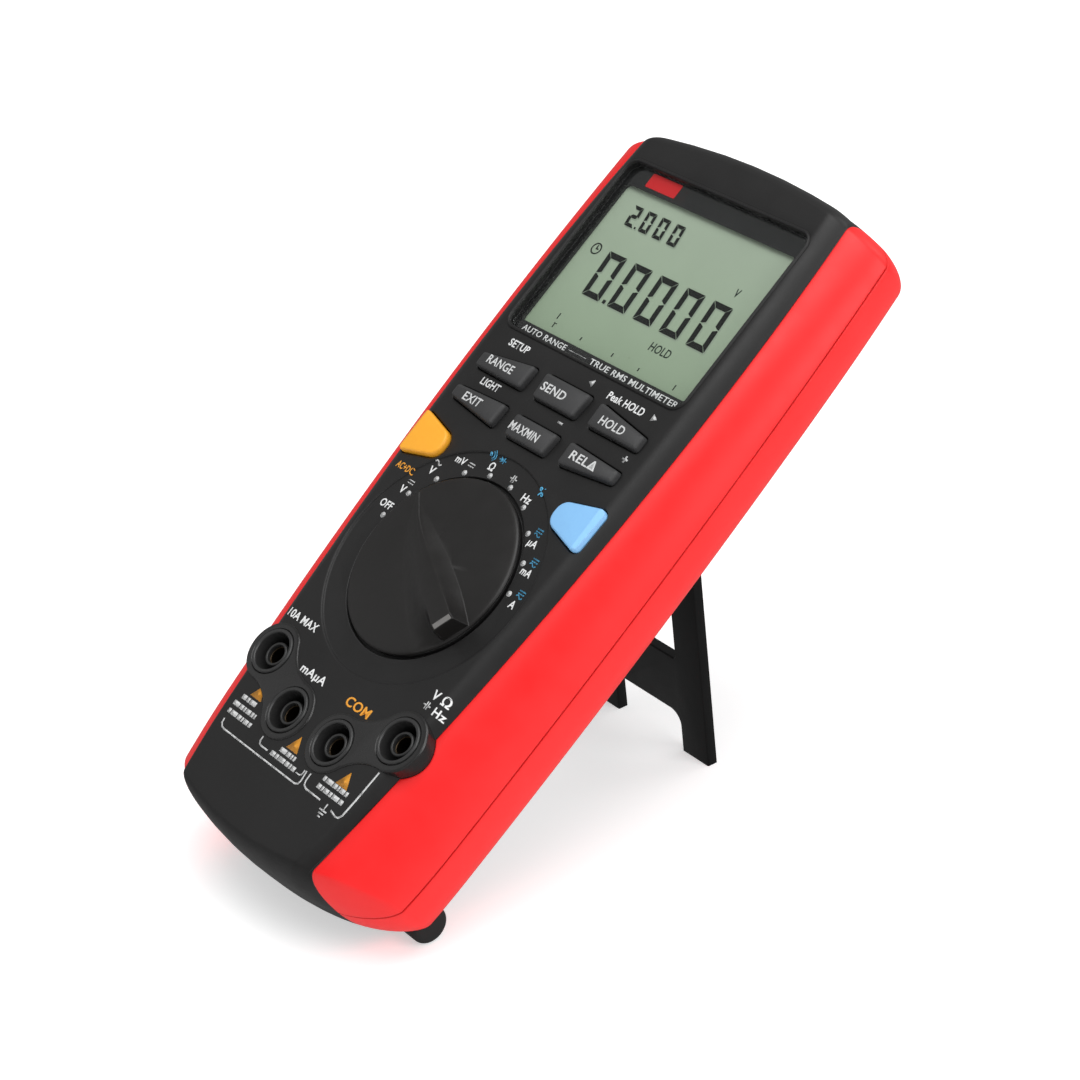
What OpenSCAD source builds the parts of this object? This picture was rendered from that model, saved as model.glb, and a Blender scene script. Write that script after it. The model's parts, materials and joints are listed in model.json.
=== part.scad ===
// Handheld digital multimeter standing on its fold-out rear stand.
// Millimetres. The meter is laid out flat in its own axes first: x across the face,
// y up the face from the socket end, z out of the face with the face plate at z = 0.
// The module pose() then leans it back on its stand, so +Z is up and z = 0 is the bench.

/* [Case] */
// Overall width across the side grips
case_w = 85; // [84:0.5:86]
// Length from the socket end to the top end, at the middle
case_len = 178.2; // [177.5:0.1:179]
// Width of the black face where it meets the side grips, at its widest
face_w = 68.4; // [68:0.2:69]
// Depth of the case behind the face plate, at the socket end
back_depth = 33.8; // [33.5:0.1:34.2]
// How much shallower the case gets for each millimetre towards the top
back_taper = 0.045; // [0.043:0.001:0.047]
// Thickness of the red grip moulded over the sides
grip_t = 2.0; // [1.8:0.1:2.2]

/* [Display] */
// Width of the display lens
lens_w = 57; // [56:0.5:58]
// Lower edge of the display lens, up the face
lens_y0 = 122.3; // [122:0.1:122.6]
// Height of the display lens
lens_h = 44.4; // [44:0.1:44.6]

/* [Rotary switch] */
// Distance of the dial's centre from the socket end
dial_y = 69.5; // [69:0.1:70]
// Radius of the dial knob
dial_r = 20.8; // [20.4:0.1:21]
// Height of the knob's finger ridge above the face
ridge_h = 5.6; // [5:0.1:6]
// Angle of the finger ridge's pointer, from the x axis
pointer_deg = 153; // [153:18:153]

/* [Sockets] */
// Bore radius of each 4 mm plug contact
plug_r = 2.0; // [1.98:0.01:2.05]
// Half the distance between the two outer sockets
jack_outer_x = 22.9; // [22.7:0.1:23.1]
// Half the distance between the two inner sockets
jack_inner_x = 8.2; // [8.1:0.05:8.3]
// Height of the outer sockets up the face
jack_outer_y = 36.4; // [36.2:0.1:36.6]
// Height of the inner sockets up the face
jack_inner_y = 28.4; // [28.3:0.1:28.5]
// Sideways offset of the socket row from the middle of the face
jack_shift = 0.7; // [0.6:0.1:0.8]

/* [Keys] */
// Height of the key tops above the face
key_h = 1.5; // [1.3:0.1:1.6]

/* [Stand] */
// Lean of the face from level when the meter stands on the bench
lean = 36.4; // [36.3:0.1:36.5]
// Distance of the stand's hinge up the case
hinge_y = 114; // [113.5:0.1:114.5]
// Angle between the stand's legs and the face when the stand is open
open_deg = 56.8; // [56.5:0.1:57]
// Thickness of the stand's legs
leg_t = 2.6; // [2.4:0.1:2.7]
// Width of each leg
leg_w = 8.7; // [8:0.1:8.8]
// Radius of the stand's hinge stubs
stub_r = 1.2; // [1.1:0.05:1.25]

/* [Hidden] */
$fn = 48;

// case
bottom_y = -0.4;                 // socket end of the case
top_y = bottom_y + case_len;
grip_z = -2.6;                   // height where the red grips begin
parting_slope = 0.041;
back_tilt = atan(back_taper);
rear_corner = 14.5;              // width of the rounded rear edges
gap = 0.03;                      // between the shells, and between shell and grip
grip_seam = 0.12;                // from the parting line to each grip
strip_inset = 0.1;               // of the black strip from the grip line
no_inset = [0, 0, 0, 0];         // insets are [sides, front, back, ends]
core_inset = [grip_t, grip_t, grip_t, grip_t];
cavity_inset = [4.6, 2.4, 2.8, 4.4];

// rubber feet on the rear lower edge
foot_x = 27.5;
foot_y = 11.6;
foot_z = -30.9;
foot_r = 4.2;

// pose on the bench
lift = foot_r - sin(lean)*foot_y - cos(lean)*foot_z;  // puts the rubber feet on the bench
mid_y = -78.931;                 // brings the origin under the middle of the standing meter

// stand
stub_z = 1.75 - back_at(hinge_y);
stand_half = 20;                 // half the stand's width

// boards, and the height of parts resting on each face of the main board
board_t = 1.5;
board_back = -7.7;
rest_gap = 0.05;
rest_front = board_back + board_t + rest_gap;
rest_back = board_back - rest_gap;
jack_board_back = -24.2;

// places up the case
battery_y = 136.75;
door_y = 141;
port_y = 167.5;

// places as [x, y]
dial = [0, dial_y];
door_bolt = [0, 156];
case_bolts = [[-14, 11.5], [14, 11.5], [-20, 169.8], [20, 169.8]];
board_bolts = [[-24, 52], [24, 52], [-15, 95.5], [15, 95.5]];
// sockets in the order amp, milliamp, common, volt
jacks = [
  [jack_shift - jack_outer_x, jack_outer_y], [jack_shift - jack_inner_x, jack_inner_y],
  [jack_shift + jack_inner_x, jack_inner_y], [jack_shift + jack_outer_x, jack_outer_y]];

// ---- outline of the case -------------------------------------------------
function lower_taper(y) = pow(max((130 - y)/118, 0), 2);
function upper_taper(y) = pow(max((y - 130)/35, 0), 2);
// half widths where black meets red, and at the widest
function face_half(y) = face_w/2 - 9.3*lower_taper(y) - 1.1*upper_taper(y);
function widest_half(y) = case_w/2 - 4.2*lower_taper(y) - 0.5*upper_taper(y);
// depths of the parting line and of the back
function parting_at(y) = 16.4 - parting_slope*y;
function back_at(y) = back_depth - back_taper*y;
// the rolled edge of the face is narrower at the socket end
function roll_scale(y) = 0.55 + 0.45*min(max((y - 15)/45, 0), 1);

// rolled edge of the face: [distance in from the grip line before scaling, z]
face_roll = [[4.6, 0], [3.4, -0.22], [2, -0.85], [0.9, -1.65], [0, grip_z]];
arc_steps = 4;

// right half of the case's cross-section as [x, z], from the face round to the back
function half_section(y) =
  let(edge = face_half(y), wide = widest_half(y), back = back_at(y), roll = roll_scale(y),
      wide_z = -parting_at(y) - 1, flat = edge - face_roll[0][0]*roll)
  concat(
    [[0, 0], [flat/2, 0]],
    [for (p = face_roll) [edge - p[0]*roll, p[1]]],
    [for (i = [1:arc_steps]) let(a = 90*i/arc_steps)
      [edge + (wide - edge)*pow(sin(a), 1.3333),
       grip_z + (wide_z - grip_z)*(1 - pow(cos(a), 1.3333))]],
    [for (i = [1:arc_steps]) let(a = 90*i/arc_steps)
      [wide - rear_corner + rear_corner*cos(a), wide_z - (back + wide_z)*sin(a)]],
    [[(wide - rear_corner)/2, -back], [0, -back]]);

// section point p moved in by the inset, towards mid depth
function inset_point(p, y, inset) =
  let(mid = -back_at(y)/2, depth_inset = p[1] > mid ? inset[1] : inset[2])
  [p[0]*(1 - inset[0]/widest_half(y)), mid + (p[1] - mid)*(1 + depth_inset/mid)];

// one closed ring of the skin; bow curves it across the case, rake shifts its rear half in y
function ring(y, inset, bow = 0, rake = 0) =
  let(mid = back_at(y)/2,
      right = [for (p = half_section(y)) let(q = inset_point(p, y, inset))
        [q[0], y + bow*q[0]*q[0] + rake*pow(max(-q[1]/mid - 1, 0), 3), q[1]]])
  concat(right, [for (i = [len(right) - 2:-1:1]) [-right[i][0], right[i][1], right[i][2]]]);

// rings from the socket end to the top, drawn in further to round the two ends
function skin_rings(inset) = concat(
  [for (i = [0:4]) let(a = 22.5*i)
    ring(bottom_y + inset[3] + 4*(1 - cos(a)), inset + (1 - sin(a))*[15, 14, 14, 0],
         bow = 1/190, rake = 7)],
  [for (y = [24, 40, 60, 82, 104, 126, 148]) ring(y, inset)],
  [for (i = [4:-1:0]) let(a = 22.5*i)
    ring(top_y - inset[3] - 3.4*(1 - cos(a)), inset + (1 - sin(a))*[7, 7, 6, 0],
         bow = -1/400, rake = -2)]);

// solid of the whole case, moved in by the inset
module skin(inset) {
  rows = skin_rings(inset);
  row_count = len(rows);
  n = len(rows[0]);
  half = n/2;
  sides = [for (j = [0:row_count - 2]) for (i = [0:n - 1])
    let(a = j*n + i, b = j*n + (i + 1)%n)
    each [[a, a + n, b], [b, a + n, b + n]]];
  // each end is closed with triangles between its right and left halves
  ends = [for (e = [0, 1]) for (i = [0:half - 1])
    let(o = e*(row_count - 1)*n, a = o + i, b = a + 1,
        c = o + (n - i - 1)%n, d = o + (n - i)%n)
    each (i == 0 ? [e == 0 ? [a, b, c] : [a, c, b]] :
          i == half - 1 ? [e == 0 ? [a, b, d] : [a, d, b]] :
          e == 0 ? [[a, b, c], [a, c, d]] : [[a, c, b], [a, d, c]])];
  polyhedron(points = [for (row = rows) each row], faces = concat(sides, ends));
}

// column through the strip of the case between the grips
module face_column(inset) {
  right = [for (y = [-6:8:186]) [face_half(y) - inset, y]];
  translate([0, 0, -60]) linear_extrude(70) polygon(concat(right, mirrored(right)));
}

// everything in front of (upper) or behind the parting line, kept clear of it
module parting_side(upper, clearance) {
  translate([0, 0, -parting_at(0) + (upper ? clearance : -clearance)])
    rotate([atan(parting_slope), 0, 0])
      translate([-60, -20, upper ? 0 : -60]) cube([120, 220, 60]);
}

// ---- small helpers -------------------------------------------------------
module pose() { translate([0, mid_y, lift]) rotate([lean, 0, 0]) children(); }

// z = 0 is the sloping back surface at y, +z goes inwards
module on_back(y) { translate([0, y, -back_at(y)]) rotate([back_tilt, 0, 0]) children(); }

module cyl(at, z0, z1, r, r_top = undef) {
  translate([at[0], at[1], z0]) cylinder(h = z1 - z0, r1 = r, r2 = is_undef(r_top) ? r : r_top);
}

module x_rod(length, r, center = false) {
  rotate([0, 90, 0]) cylinder(h = length, r = r, center = center);
}

module box(x0, x1, y0, y1, z0, z1) {
  translate([x0, y0, z0]) cube([x1 - x0, y1 - y0, z1 - z0]);
}

// box of width w centred on x = 0
module mid_box(w, y0, y1, z0, z1) { box(-w/2, w/2, y0, y1, z0, z1); }

function rect(x0, x1, y0, y1) = [[x0, y0], [x1, y0], [x1, y1], [x0, y1]];
function mid_rect(w, y0, y1) = rect(-w/2, w/2, y0, y1);

// points mirrored across x = 0, in reverse order
function mirrored(points) =
  [for (i = [len(points) - 1:-1:0]) [-points[i][0], points[i][1]]];

// four-cornered outline with each corner moved outwards by margin in x and y
function grow(p, margin) = let(mid = (p[0] + p[1] + p[2] + p[3])/4)
  [for (q = p) [for (k = [0, 1]) q[k] + (q[k] > mid[k] ? margin : -margin)]];

// polygon with rounded corners; radii is one radius, or a list with one for each corner
function unit(v) = v/norm(v);
function rounded(corners, radii, steps = 4) =
  let(n = len(corners))
  [for (i = [0:n - 1])
    let(corner = corners[i], r = is_num(radii) ? radii : radii[i],
        u = unit(corners[(i + n - 1)%n] - corner), v = unit(corners[(i + 1)%n] - corner),
        half = acos(u*v)/2,
        centre = corner + unit(u + v)*r/sin(half),
        start = corner + u*r/tan(half) - centre,
        turn = (180 - 2*half)*(u[0]*v[1] - u[1]*v[0] > 0 ? -1 : 1))
    for (k = [0:steps]) let(a = turn*k/steps)
      centre + [start[0]*cos(a) - start[1]*sin(a), start[0]*sin(a) + start[1]*cos(a)]];

module plate(corners, radii, z0, z1) {
  translate([0, 0, z0]) linear_extrude(z1 - z0) polygon(rounded(corners, radii));
}

// cross-slotted screw: head_z is the outer face of the head, the shank runs towards +z
module screw(at, head_z, length, r, head_r, head_h = 1.6) {
  translate([at[0], at[1], head_z]) difference() {
    union() {
      cylinder(h = head_h, r = head_r);
      translate([0, 0, head_h - 0.1]) cylinder(h = length, r = r);
    }
    for (a = [0, 90]) rotate([0, 0, a]) mid_box(1.24*head_r, -0.3, 0.3, -1, head_h/2);
  }
}

// ---- key outlines: corners as [x, y] ----------------------------------------
send_outline = [[-6.8, 110.2], [6.8, 110.2], [7.4, 116.4], [-7.4, 116.4]];
maxmin_outline = [[-6.4, 100.3], [6.4, 100.3], [7.0, 105.8], [-7.0, 105.8]];
hold_outline = [[11.3, 110.3], [27.0, 110.4], [27.0, 114.0], [11.0, 116.3]];
rel_outline = [[11.3, 100.4], [27.2, 102.2], [27.2, 105.3], [11.0, 106.1]];
range_outline = mirrored(hold_outline);
exit_outline = mirrored(rel_outline);
key_corner = 0.8;

// coloured key on the right (side = 1) or left (side = -1) shoulder
thumb_outline = [[19.2, 94.6], [19.2, 89.2], [30.3, 86.4], [30.8, 97.4]];
module thumb_plate(side, margin, z0, z1) {
  grown = thumb_outline + margin*[[-1, 1], [-1, -1], [1, -1], [1, 1]];
  plate(side > 0 ? grown : mirrored(grown),
        side > 0 ? [3, 3, 1.2, 1.2] : [1.2, 1.2, 3, 3], z0, z1);
}

// ---- case ------------------------------------------------------------------
module lens_plate(margin, corner, z0, z1) {
  plate(mid_rect(lens_w + 2*margin, lens_y0 - margin, lens_y0 + lens_h + margin),
        corner, z0, z1);
}

module face_openings() {
  lens_plate(0.1, 2.6, -1.5, 2);
  plate(mid_rect(54.6, 124.4, 162.2), 1.2, -4, 2);
  for (p = [send_outline, maxmin_outline, hold_outline, rel_outline, range_outline, exit_outline])
    plate(grow(p, 0.25), key_corner, -4, 4);
  for (side = [-1, 1]) thumb_plate(side, 0.25, -9, 4);
  // shallow dish for the knob, and the hole for its hub
  cyl(dial, -0.5, 3, 27.3);
  cyl(dial, -5, 1, 8.2);
  for (j = jacks) cyl(j, -30, 4, 5.25);
  // room behind the face for the display frame and the keys
  mid_box(62.8, 118.2, 166.6, -6.4, -2.4);
  mid_box(60.4, 98.7, 118.3, -6.4, -2.4);
  for (b = case_bolts) cyl(b, -20, -4, 1.5);
}

// low bridge that joins the raised collars of two neighbouring sockets
module saddle(a, b) {
  span = b - a;
  translate([a[0], a[1], -1]) rotate(atan2(span[1], span[0]))
    box(0, norm(span), -4.7, 4.7, 0, 1.3);
}

// hollow shell on one side of the parting line: core under the grips, full skin between them
module shell_wall(upper, clearance) {
  difference() {
    union() {
      intersection() {
        skin(core_inset);
        parting_side(upper, clearance);
      }
      intersection() {
        skin(no_inset);
        face_column(strip_inset);
        parting_side(upper, clearance);
      }
    }
    skin(cavity_inset);
  }
}

module front_shell() {
  color([0.17, 0.17, 0.18]) pose() difference() {
    union() {
      shell_wall(true, 0);
      for (b = case_bolts) cyl(b, -parting_at(b[1]) + 0.3, -2, 3);
      for (b = board_bolts) difference() {
        cyl(b, rest_front, -2, 2.4);
        cyl(b, -20, -3.2, 1.1);
      }
      // raised socket collars
      for (j = jacks) {
        cyl(j, -7, 0.1, 6.9);
        cyl(j, 0.1, 0.35, 6.9, 6.65);
      }
      saddle(jacks[0], jacks[1]);
      saddle(jacks[2], jacks[3]);
      // raised rim round the lens
      difference() {
        lens_plate(0.9, 3.3, -0.5, 0.45);
        lens_plate(0.1, 2.6, -1, 1);
      }
    }
    face_openings();
  }
}

module foot_rod(x, length, r) { translate([x, foot_y, foot_z]) x_rod(length, r, center = true); }

// red grip on the right (side = 1) or left (side = -1), in front of or behind the parting line
module grip(side, upper) {
  intersection() {
    difference() {
      skin(no_inset);
      skin(core_inset - gap*[1, 1, 1, 1]);
      face_column(strip_inset - gap);
      if (upper) {
        cyl([jack_shift + side*jack_outer_x, jack_outer_y], -12, 6, 6.95);
        thumb_plate(side, 0.3, -9, 4);
      } else {
        foot_rod(side*foot_x, 9.2, foot_r + 0.1);
      }
    }
    parting_side(upper, grip_seam);
    translate([side > 0 ? 10 : -60, -10, -60]) cube([50, 200, 80]);
  }
}
module front_grip_left() { color([0.90, 0.13, 0.14]) pose() grip(-1, true); }
module front_grip_right() { color([0.90, 0.13, 0.14]) pose() grip(1, true); }
module rear_grip_left() { color([0.88, 0.12, 0.13]) pose() grip(-1, false); }
module rear_grip_right() { color([0.88, 0.12, 0.13]) pose() grip(1, false); }

// box centred on the battery bay
module bay_box(w, length, z0, z1) {
  mid_box(w, battery_y - length/2, battery_y + length/2, z0, z1);
}
bay_w = 49;
bay_len = 26.9;

module rear_shell() {
  color([0.16, 0.16, 0.17]) pose() difference() {
    union() {
      shell_wall(false, gap);
      // tub that the folded stand drops into
      on_back(79.5) mid_box(2*(stand_half + 2.4), -41, 41, 2, 5.2);
      on_back(hinge_y) mid_box(50, -5, 4.5, 2, 5.2);
      // battery tub walls
      difference() {
        bay_box(bay_w + 2.4, bay_len + 2, -26, -8.6);
        bay_box(bay_w, bay_len, -30, 0.6);
      }
      for (b = case_bolts) cyl(b, -back_at(b[1]) + 1, -parting_at(b[1]) - 0.3, 4.2);
      cyl(door_bolt, -26, -16, 3);
      // wall round the foot pockets
      intersection() {
        foot_rod(0, 68, foot_r + 1.4);
        skin(core_inset + [0.1, 0, 0, 0]);
      }
    }
    // recess for the folded stand and its hinge stubs
    on_back(79) mid_box(2*(stand_half + 0.4), -38.5, 37, -1, 3.4);
    translate([-23, hinge_y, stub_z]) x_rod(46, stub_r + 0.05);
    // opening for the battery door
    on_back(door_y) mid_box(door_w, -door_len/2, door_len/2, -2, 1.7);
    bay_box(bay_w, bay_len, -40, -9.4);
    cyl(door_bolt, -40, -17, 1.1);
    for (b = case_bolts) {
      cyl(b, -40, -back_at(b[1]) + 6, 3.2);
      cyl(b, -40, 0, 1.6);
    }
    for (side = [-1, 1]) foot_rod(side*foot_x, 9.1, foot_r + 0.05);
    // slot for the battery wires
    box(24, 26.2, 127.6, 133, -16, -8);
    // infrared port
    on_back(port_y) mid_box(8, -2, 2, -2, 6);
  }
}

door_w = 54;                     // size of the door's opening
door_len = 40;
door_fit = 0.15;                 // clearance on each side of the door
module battery_door() {
  color([0.15, 0.15, 0.16]) pose() difference() {
    union() {
      on_back(door_y)
        mid_box(door_w - 2*door_fit, door_fit - door_len/2, door_len/2 - door_fit, 0, 1.6);
      // finger ribs
      on_back(136.7) for (i = [-3:3]) mid_box(18, i*2.2 - 0.5, i*2.2 + 0.5, -0.5, 0.5);
    }
    cyl(door_bolt, -40, -10, 1.3);
    cyl(door_bolt, -40, -back_at(door_bolt[1]) + 0.7, 2.4);
  }
}

module door_screw() {
  color([0.55, 0.55, 0.57]) pose()
    screw(door_bolt, -back_at(door_bolt[1]) - 0.35, length = 7.5, r = 1.05, head_r = 2.2,
          head_h = 1.0);
}

module case_screws() {
  color([0.55, 0.55, 0.57]) pose() for (b = case_bolts)
    screw(b, -back_at(b[1]) + 4.35, length = back_at(b[1]) - 12.5, r = 1.45, head_r = 2.9);
}

// two rollers on the lower edge and two pads near the top
module rubber_feet() {
  color([0.09, 0.09, 0.09]) pose() for (side = [-1, 1]) {
    foot_rod(side*foot_x, 9, foot_r);
    on_back(166) translate([side*11, 0, -1.2]) cylinder(h = 1.17, r = 3);
  }
}

// ---- display ---------------------------------------------------------------
module lcd_lens() { color([0.80, 0.86, 0.84, 0.35]) pose() lens_plate(0, 2.5, -1.45, 0.1); }

module lcd_glass() { color([0.62, 0.68, 0.56]) pose() mid_box(58.4, 120.4, 165.2, -4.3, -2.5); }

module zebra_strips() {
  color([0.75, 0.35, 0.45]) pose()
    for (y = [120.5, 162.9]) mid_box(56, y, y + 2.2, rest_front, -4.33);
}

module backlight_panel() {
  color([0.93, 0.95, 0.93]) pose() plate(mid_rect(57, 123.0, 162.6), 1, -6.1, -4.35);
}

module lcd_holder() {
  color([0.85, 0.85, 0.83]) pose() difference() {
    plate(mid_rect(62.4, 118.4, 166.4), 1, rest_front, -2.5);
    mid_box(58.6, 120.3, 165.3, -8, 0);
  }
}

// ---- boards and switch -------------------------------------------------------
// main board: corners as [x, y], then the radius at each
main_board_outline = [
  [-27.5, 46], [27.5, 46], [31, 75], [31.6, 100],
  [31.6, 158], [-31.6, 158], [-31.6, 100], [-31, 75]];
main_board_radii = [1, 1, 1, 1, 2, 2, 1, 1];

module main_board() {
  color([0.05, 0.35, 0.18]) pose() difference() {
    plate(main_board_outline, main_board_radii, board_back, board_back + board_t);
    bay_box(bay_w + 3.4, bay_len + 3, -9, -5);
    cyl(dial, -9, -5, 3);
    for (b = board_bolts) cyl(b, -9, -5, 1.3);
  }
}

module jack_board() {
  color([0.05, 0.33, 0.17]) pose() difference() {
    plate(mid_rect(63, 18.5, 44.5), 2, jack_board_back, jack_board_back + board_t);
    for (j = jacks) cyl(j, -26, -20, 2.35);
  }
}

module board_screws() {
  color([0.6, 0.6, 0.6]) pose()
    for (b = board_bolts) screw(b, -9.32, length = 4.4, r = 1.05, head_r = 2.1);
}

// finger ridge, with its pointer towards -x in its own frame
// side view as [x, z]: low at the pointer, tall at the far end
ridge_profile = [
  [-19.6, 0.2], [20.2, 0.2], [19.8, ridge_h - 0.7], [18.9, ridge_h],
  [11, 4.4], [3, 3.4], [-5, 2.4], [-13, 1.5], [-19.6, 0.9]];
// end view as [z, y]: flat crest, steep side towards +y, long slope towards -y
ridge_section = [
  [-1, 4.6], [0.8, 4.3], [2.2, 3.4], [3.6, 2.7], [6, 2.3], [6, -2.5],
  [4.6, -3.2], [3.2, -4.6], [2.2, -6.4], [1.5, -8.6], [-1, -9.4]];

module ridge() {
  intersection() {
    rotate([90, 0, 0]) translate([0, 0, -12]) linear_extrude(24) polygon(ridge_profile);
    rotate([0, 90, 0]) linear_extrude(60, center = true)
      polygon([for (p = ridge_section) [-p[0], p[1]]]);
    translate([0, 0, -2]) cylinder(h = 12, r = dial_r - 0.2, $fn = 96);
  }
}

module dial_knob() {
  color([0.13, 0.13, 0.13]) pose() translate([0, dial_y, 0]) difference() {
    union() {
      rotate_extrude($fn = 96) polygon([
        [0, -0.2], [dial_r, -0.2], [dial_r, 0.1],
        [dial_r - 0.4, 0.45], [dial_r - 3, 0.75], [0, 1.3]]);
      rotate([0, 0, pointer_deg + 180]) ridge();
      translate([0, 0, -3.2]) cylinder(h = 3.4, r = 8.12);
    }
    translate([0, 0, -4]) cylinder(h = 6, r = 1.1);
  }
}

module switch_rotor() {
  color([0.88, 0.86, 0.80]) pose() translate([0, dial_y, 0]) difference() {
    union() {
      translate([0, 0, -4.6]) cylinder(h = 1.3, r = 17.5);
      translate([0, 0, -4.9]) cylinder(h = 1, r = 6);
    }
    translate([0, 0, -8]) cylinder(h = 8, r = 1.3);
    for (a = [0:60:300]) rotate([0, 0, a]) translate([12, 0, -8]) cylinder(h = 8, r = 2.4);
  }
}

module rotor_screw() {
  color([0.6, 0.6, 0.6]) pose() screw(dial, -6.55, length = 5.5, r = 1.05, head_r = 2.3);
}

// three combs, each of three fingers joined by a cross strip
module wiper_contacts() {
  color([0.82, 0.66, 0.32]) pose() translate([0, dial_y, 0])
    for (a = [30, 150, 270]) rotate([0, 0, a]) {
      for (x = [8.5, 11.3, 14.1]) translate([x, 0, 0]) {
        mid_box(2, -4, 4, -4.85, -4.63);
        mid_box(1.2, 3, 3.9, -6.1, -4.8);
      }
      box(7.5, 15.1, -4.9, -3.7, -4.85, -4.63);
    }
}

// ---- keys ----------------------------------------------------------------------
module keypad_membrane() {
  color([0.60, 0.62, 0.62]) pose() difference() {
    union() {
      plate(mid_rect(60, 98.9, 117.8), 2, rest_front, -5.2);
      for (x = [-29.6, 18.4]) plate(rect(x, x + 11.2, 88, 99.6), 1, rest_front, -5.2);
      for (at = [[0, 113.3], [0, 103], [-19, 113], [19, 113], [-19, 103.3], [19, 103.3]])
        cyl(at, -5.3, -4.6, 2.2);
    }
    for (b = board_bolts) cyl(b, -8, 0, 2.6);
  }
}

// grey key with a flange behind the face
module grey_key(outline) {
  color([0.24, 0.24, 0.25]) pose() {
    plate(outline, key_corner, -2.6, key_h);
    plate(grow(outline, 0.9), key_corner, -3.5, -2.45);
  }
}
module key_range() { grey_key(range_outline); }
module key_send() { grey_key(send_outline); }
module key_hold() { grey_key(hold_outline); }
module key_exit() { grey_key(exit_outline); }
module key_maxmin() { grey_key(maxmin_outline); }
module key_rel() { grey_key(rel_outline); }

module thumb_key(side) {
  difference() {
    thumb_plate(side, 0, -4.1, 1.2);
    // the outer end follows the rounded shoulder of the case
    translate([side*29.5, 92, 1.2]) rotate([0, side*33, 0]) mid_box(12, -10, 10, 0, 6);
  }
}
module key_amber() { color([0.98, 0.70, 0.17]) pose() thumb_key(-1); }
module key_blue() { color([0.52, 0.75, 0.94]) pose() thumb_key(1); }

// ---- sockets ---------------------------------------------------------------------
// sleeve section as [radius, z]: outer wall, ring groove for the plug shroud, inner wall
sleeve_profile = [
  [2.33, -22], [5.2, -22], [5.2, 0.4], [5.0, 0.6], [4.45, 0.6], [4.3, 0.4], [4.3, -20],
  [2.8, -20], [2.8, -1.1], [2.6, -0.9], [2.3, -0.9], [2.15, -1.05], [2.15, -1.95],
  [2.33, -1.95]];

module sleeve(at) {
  color([0.14, 0.14, 0.15]) pose() translate([at[0], at[1], 0])
    rotate_extrude($fn = 64) polygon(sleeve_profile);
}
module jack_sleeve_amp() { sleeve(jacks[0]); }
module jack_sleeve_milliamp() { sleeve(jacks[1]); }
module jack_sleeve_common() { sleeve(jacks[2]); }
module jack_sleeve_volt() { sleeve(jacks[3]); }

module contact(at) {
  color([0.80, 0.64, 0.30]) pose() difference() {
    cyl(at, -25.5, -2, 2.3);
    cyl(at, -22, 0, plug_r);
  }
}
module jack_contact_amp() { contact(jacks[0]); }
module jack_contact_milliamp() { contact(jacks[1]); }
module jack_contact_common() { contact(jacks[2]); }
module jack_contact_volt() { contact(jacks[3]); }

// ---- fuses -----------------------------------------------------------------------
fuse_ys = [58, 72];              // amp fuse, milliamp fuse
fuse_z = -14.6;
fuse_len = 38;
fuse_cap = 9.5;                  // length of each end cap

module fuse(y) {
  pose() translate([-fuse_len/2, y, fuse_z]) {
    color([0.92, 0.90, 0.84]) translate([9, 0, 0]) x_rod(20, 4.85);
    color([0.75, 0.75, 0.77])
      for (x = [0, fuse_len - fuse_cap]) translate([x, 0, 0]) x_rod(fuse_cap, 5.15);
  }
}
module fuse_amp() { fuse(fuse_ys[0]); }
module fuse_milliamp() { fuse(fuse_ys[1]); }

module fuse_clips() {
  color([0.78, 0.72, 0.50]) pose() for (y = fuse_ys) for (side = [-1, 1])
    translate([side*15.5, y, fuse_z]) difference() {
      union() {
        x_rod(5, 5.7, center = true);
        mid_box(5, -2.5, 2.5, 5, 6.85);
      }
      x_rod(7, 5.2, center = true);
      mid_box(10, -8, 8, -8, -3.5);
    }
}

// ---- battery ---------------------------------------------------------------------
module terminals(x, length, r) {
  for (side = [-1, 1]) translate([x, battery_y + side*6.3, -17.3]) x_rod(length, r);
}

module battery_9v() {
  color([0.25, 0.27, 0.30]) pose() {
    translate([-23.9, battery_y, -17.1]) rotate([0, 90, 0])
      plate(rect(-7.6, 8.3, -12.6, 12.6), 2, 0, 46);
    terminals(22, 1.2, 3);
  }
}

module battery_snap() {
  color([0.10, 0.10, 0.10]) pose() difference() {
    box(22.2, 24.3, 127, 146.5, -22.5, -11.5);
    terminals(20, 3.4, 3.1);
  }
}

// one wire from the snap out in x, forward, along the board and into it
module lead(x, y) {
  wire_r = 0.8;
  snap_x = 24.4;
  snap_z = -14;
  board_y = 120;
  run_z = -9.2;
  translate([snap_x, y, snap_z]) x_rod(x - snap_x, wire_r);
  cyl([x, y], snap_z, run_z, wire_r);
  translate([x, board_y, run_z]) rotate([-90, 0, 0]) cylinder(h = y - board_y, r = wire_r);
  cyl([x, board_y], run_z, rest_back, wire_r);
  for (bend = [[x, y, snap_z], [x, y, run_z], [x, board_y, run_z]])
    translate(bend) sphere(r = wire_r, $fn = 24);
}
module battery_leads() {
  color([0.75, 0.08, 0.08]) pose() lead(27.6, 129);
  color([0.08, 0.08, 0.08]) pose() lead(29.7, 131.4);
}

// ---- parts on the boards -----------------------------------------------------------
module buzzer() {
  color([0.12, 0.12, 0.12]) pose() translate([-19, 109, rest_back]) difference() {
    translate([0, 0, -4.5]) cylinder(h = 4.5, r = 7);
    translate([0, 0, -5]) cylinder(h = 2, r = 1.2);
  }
}

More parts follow.
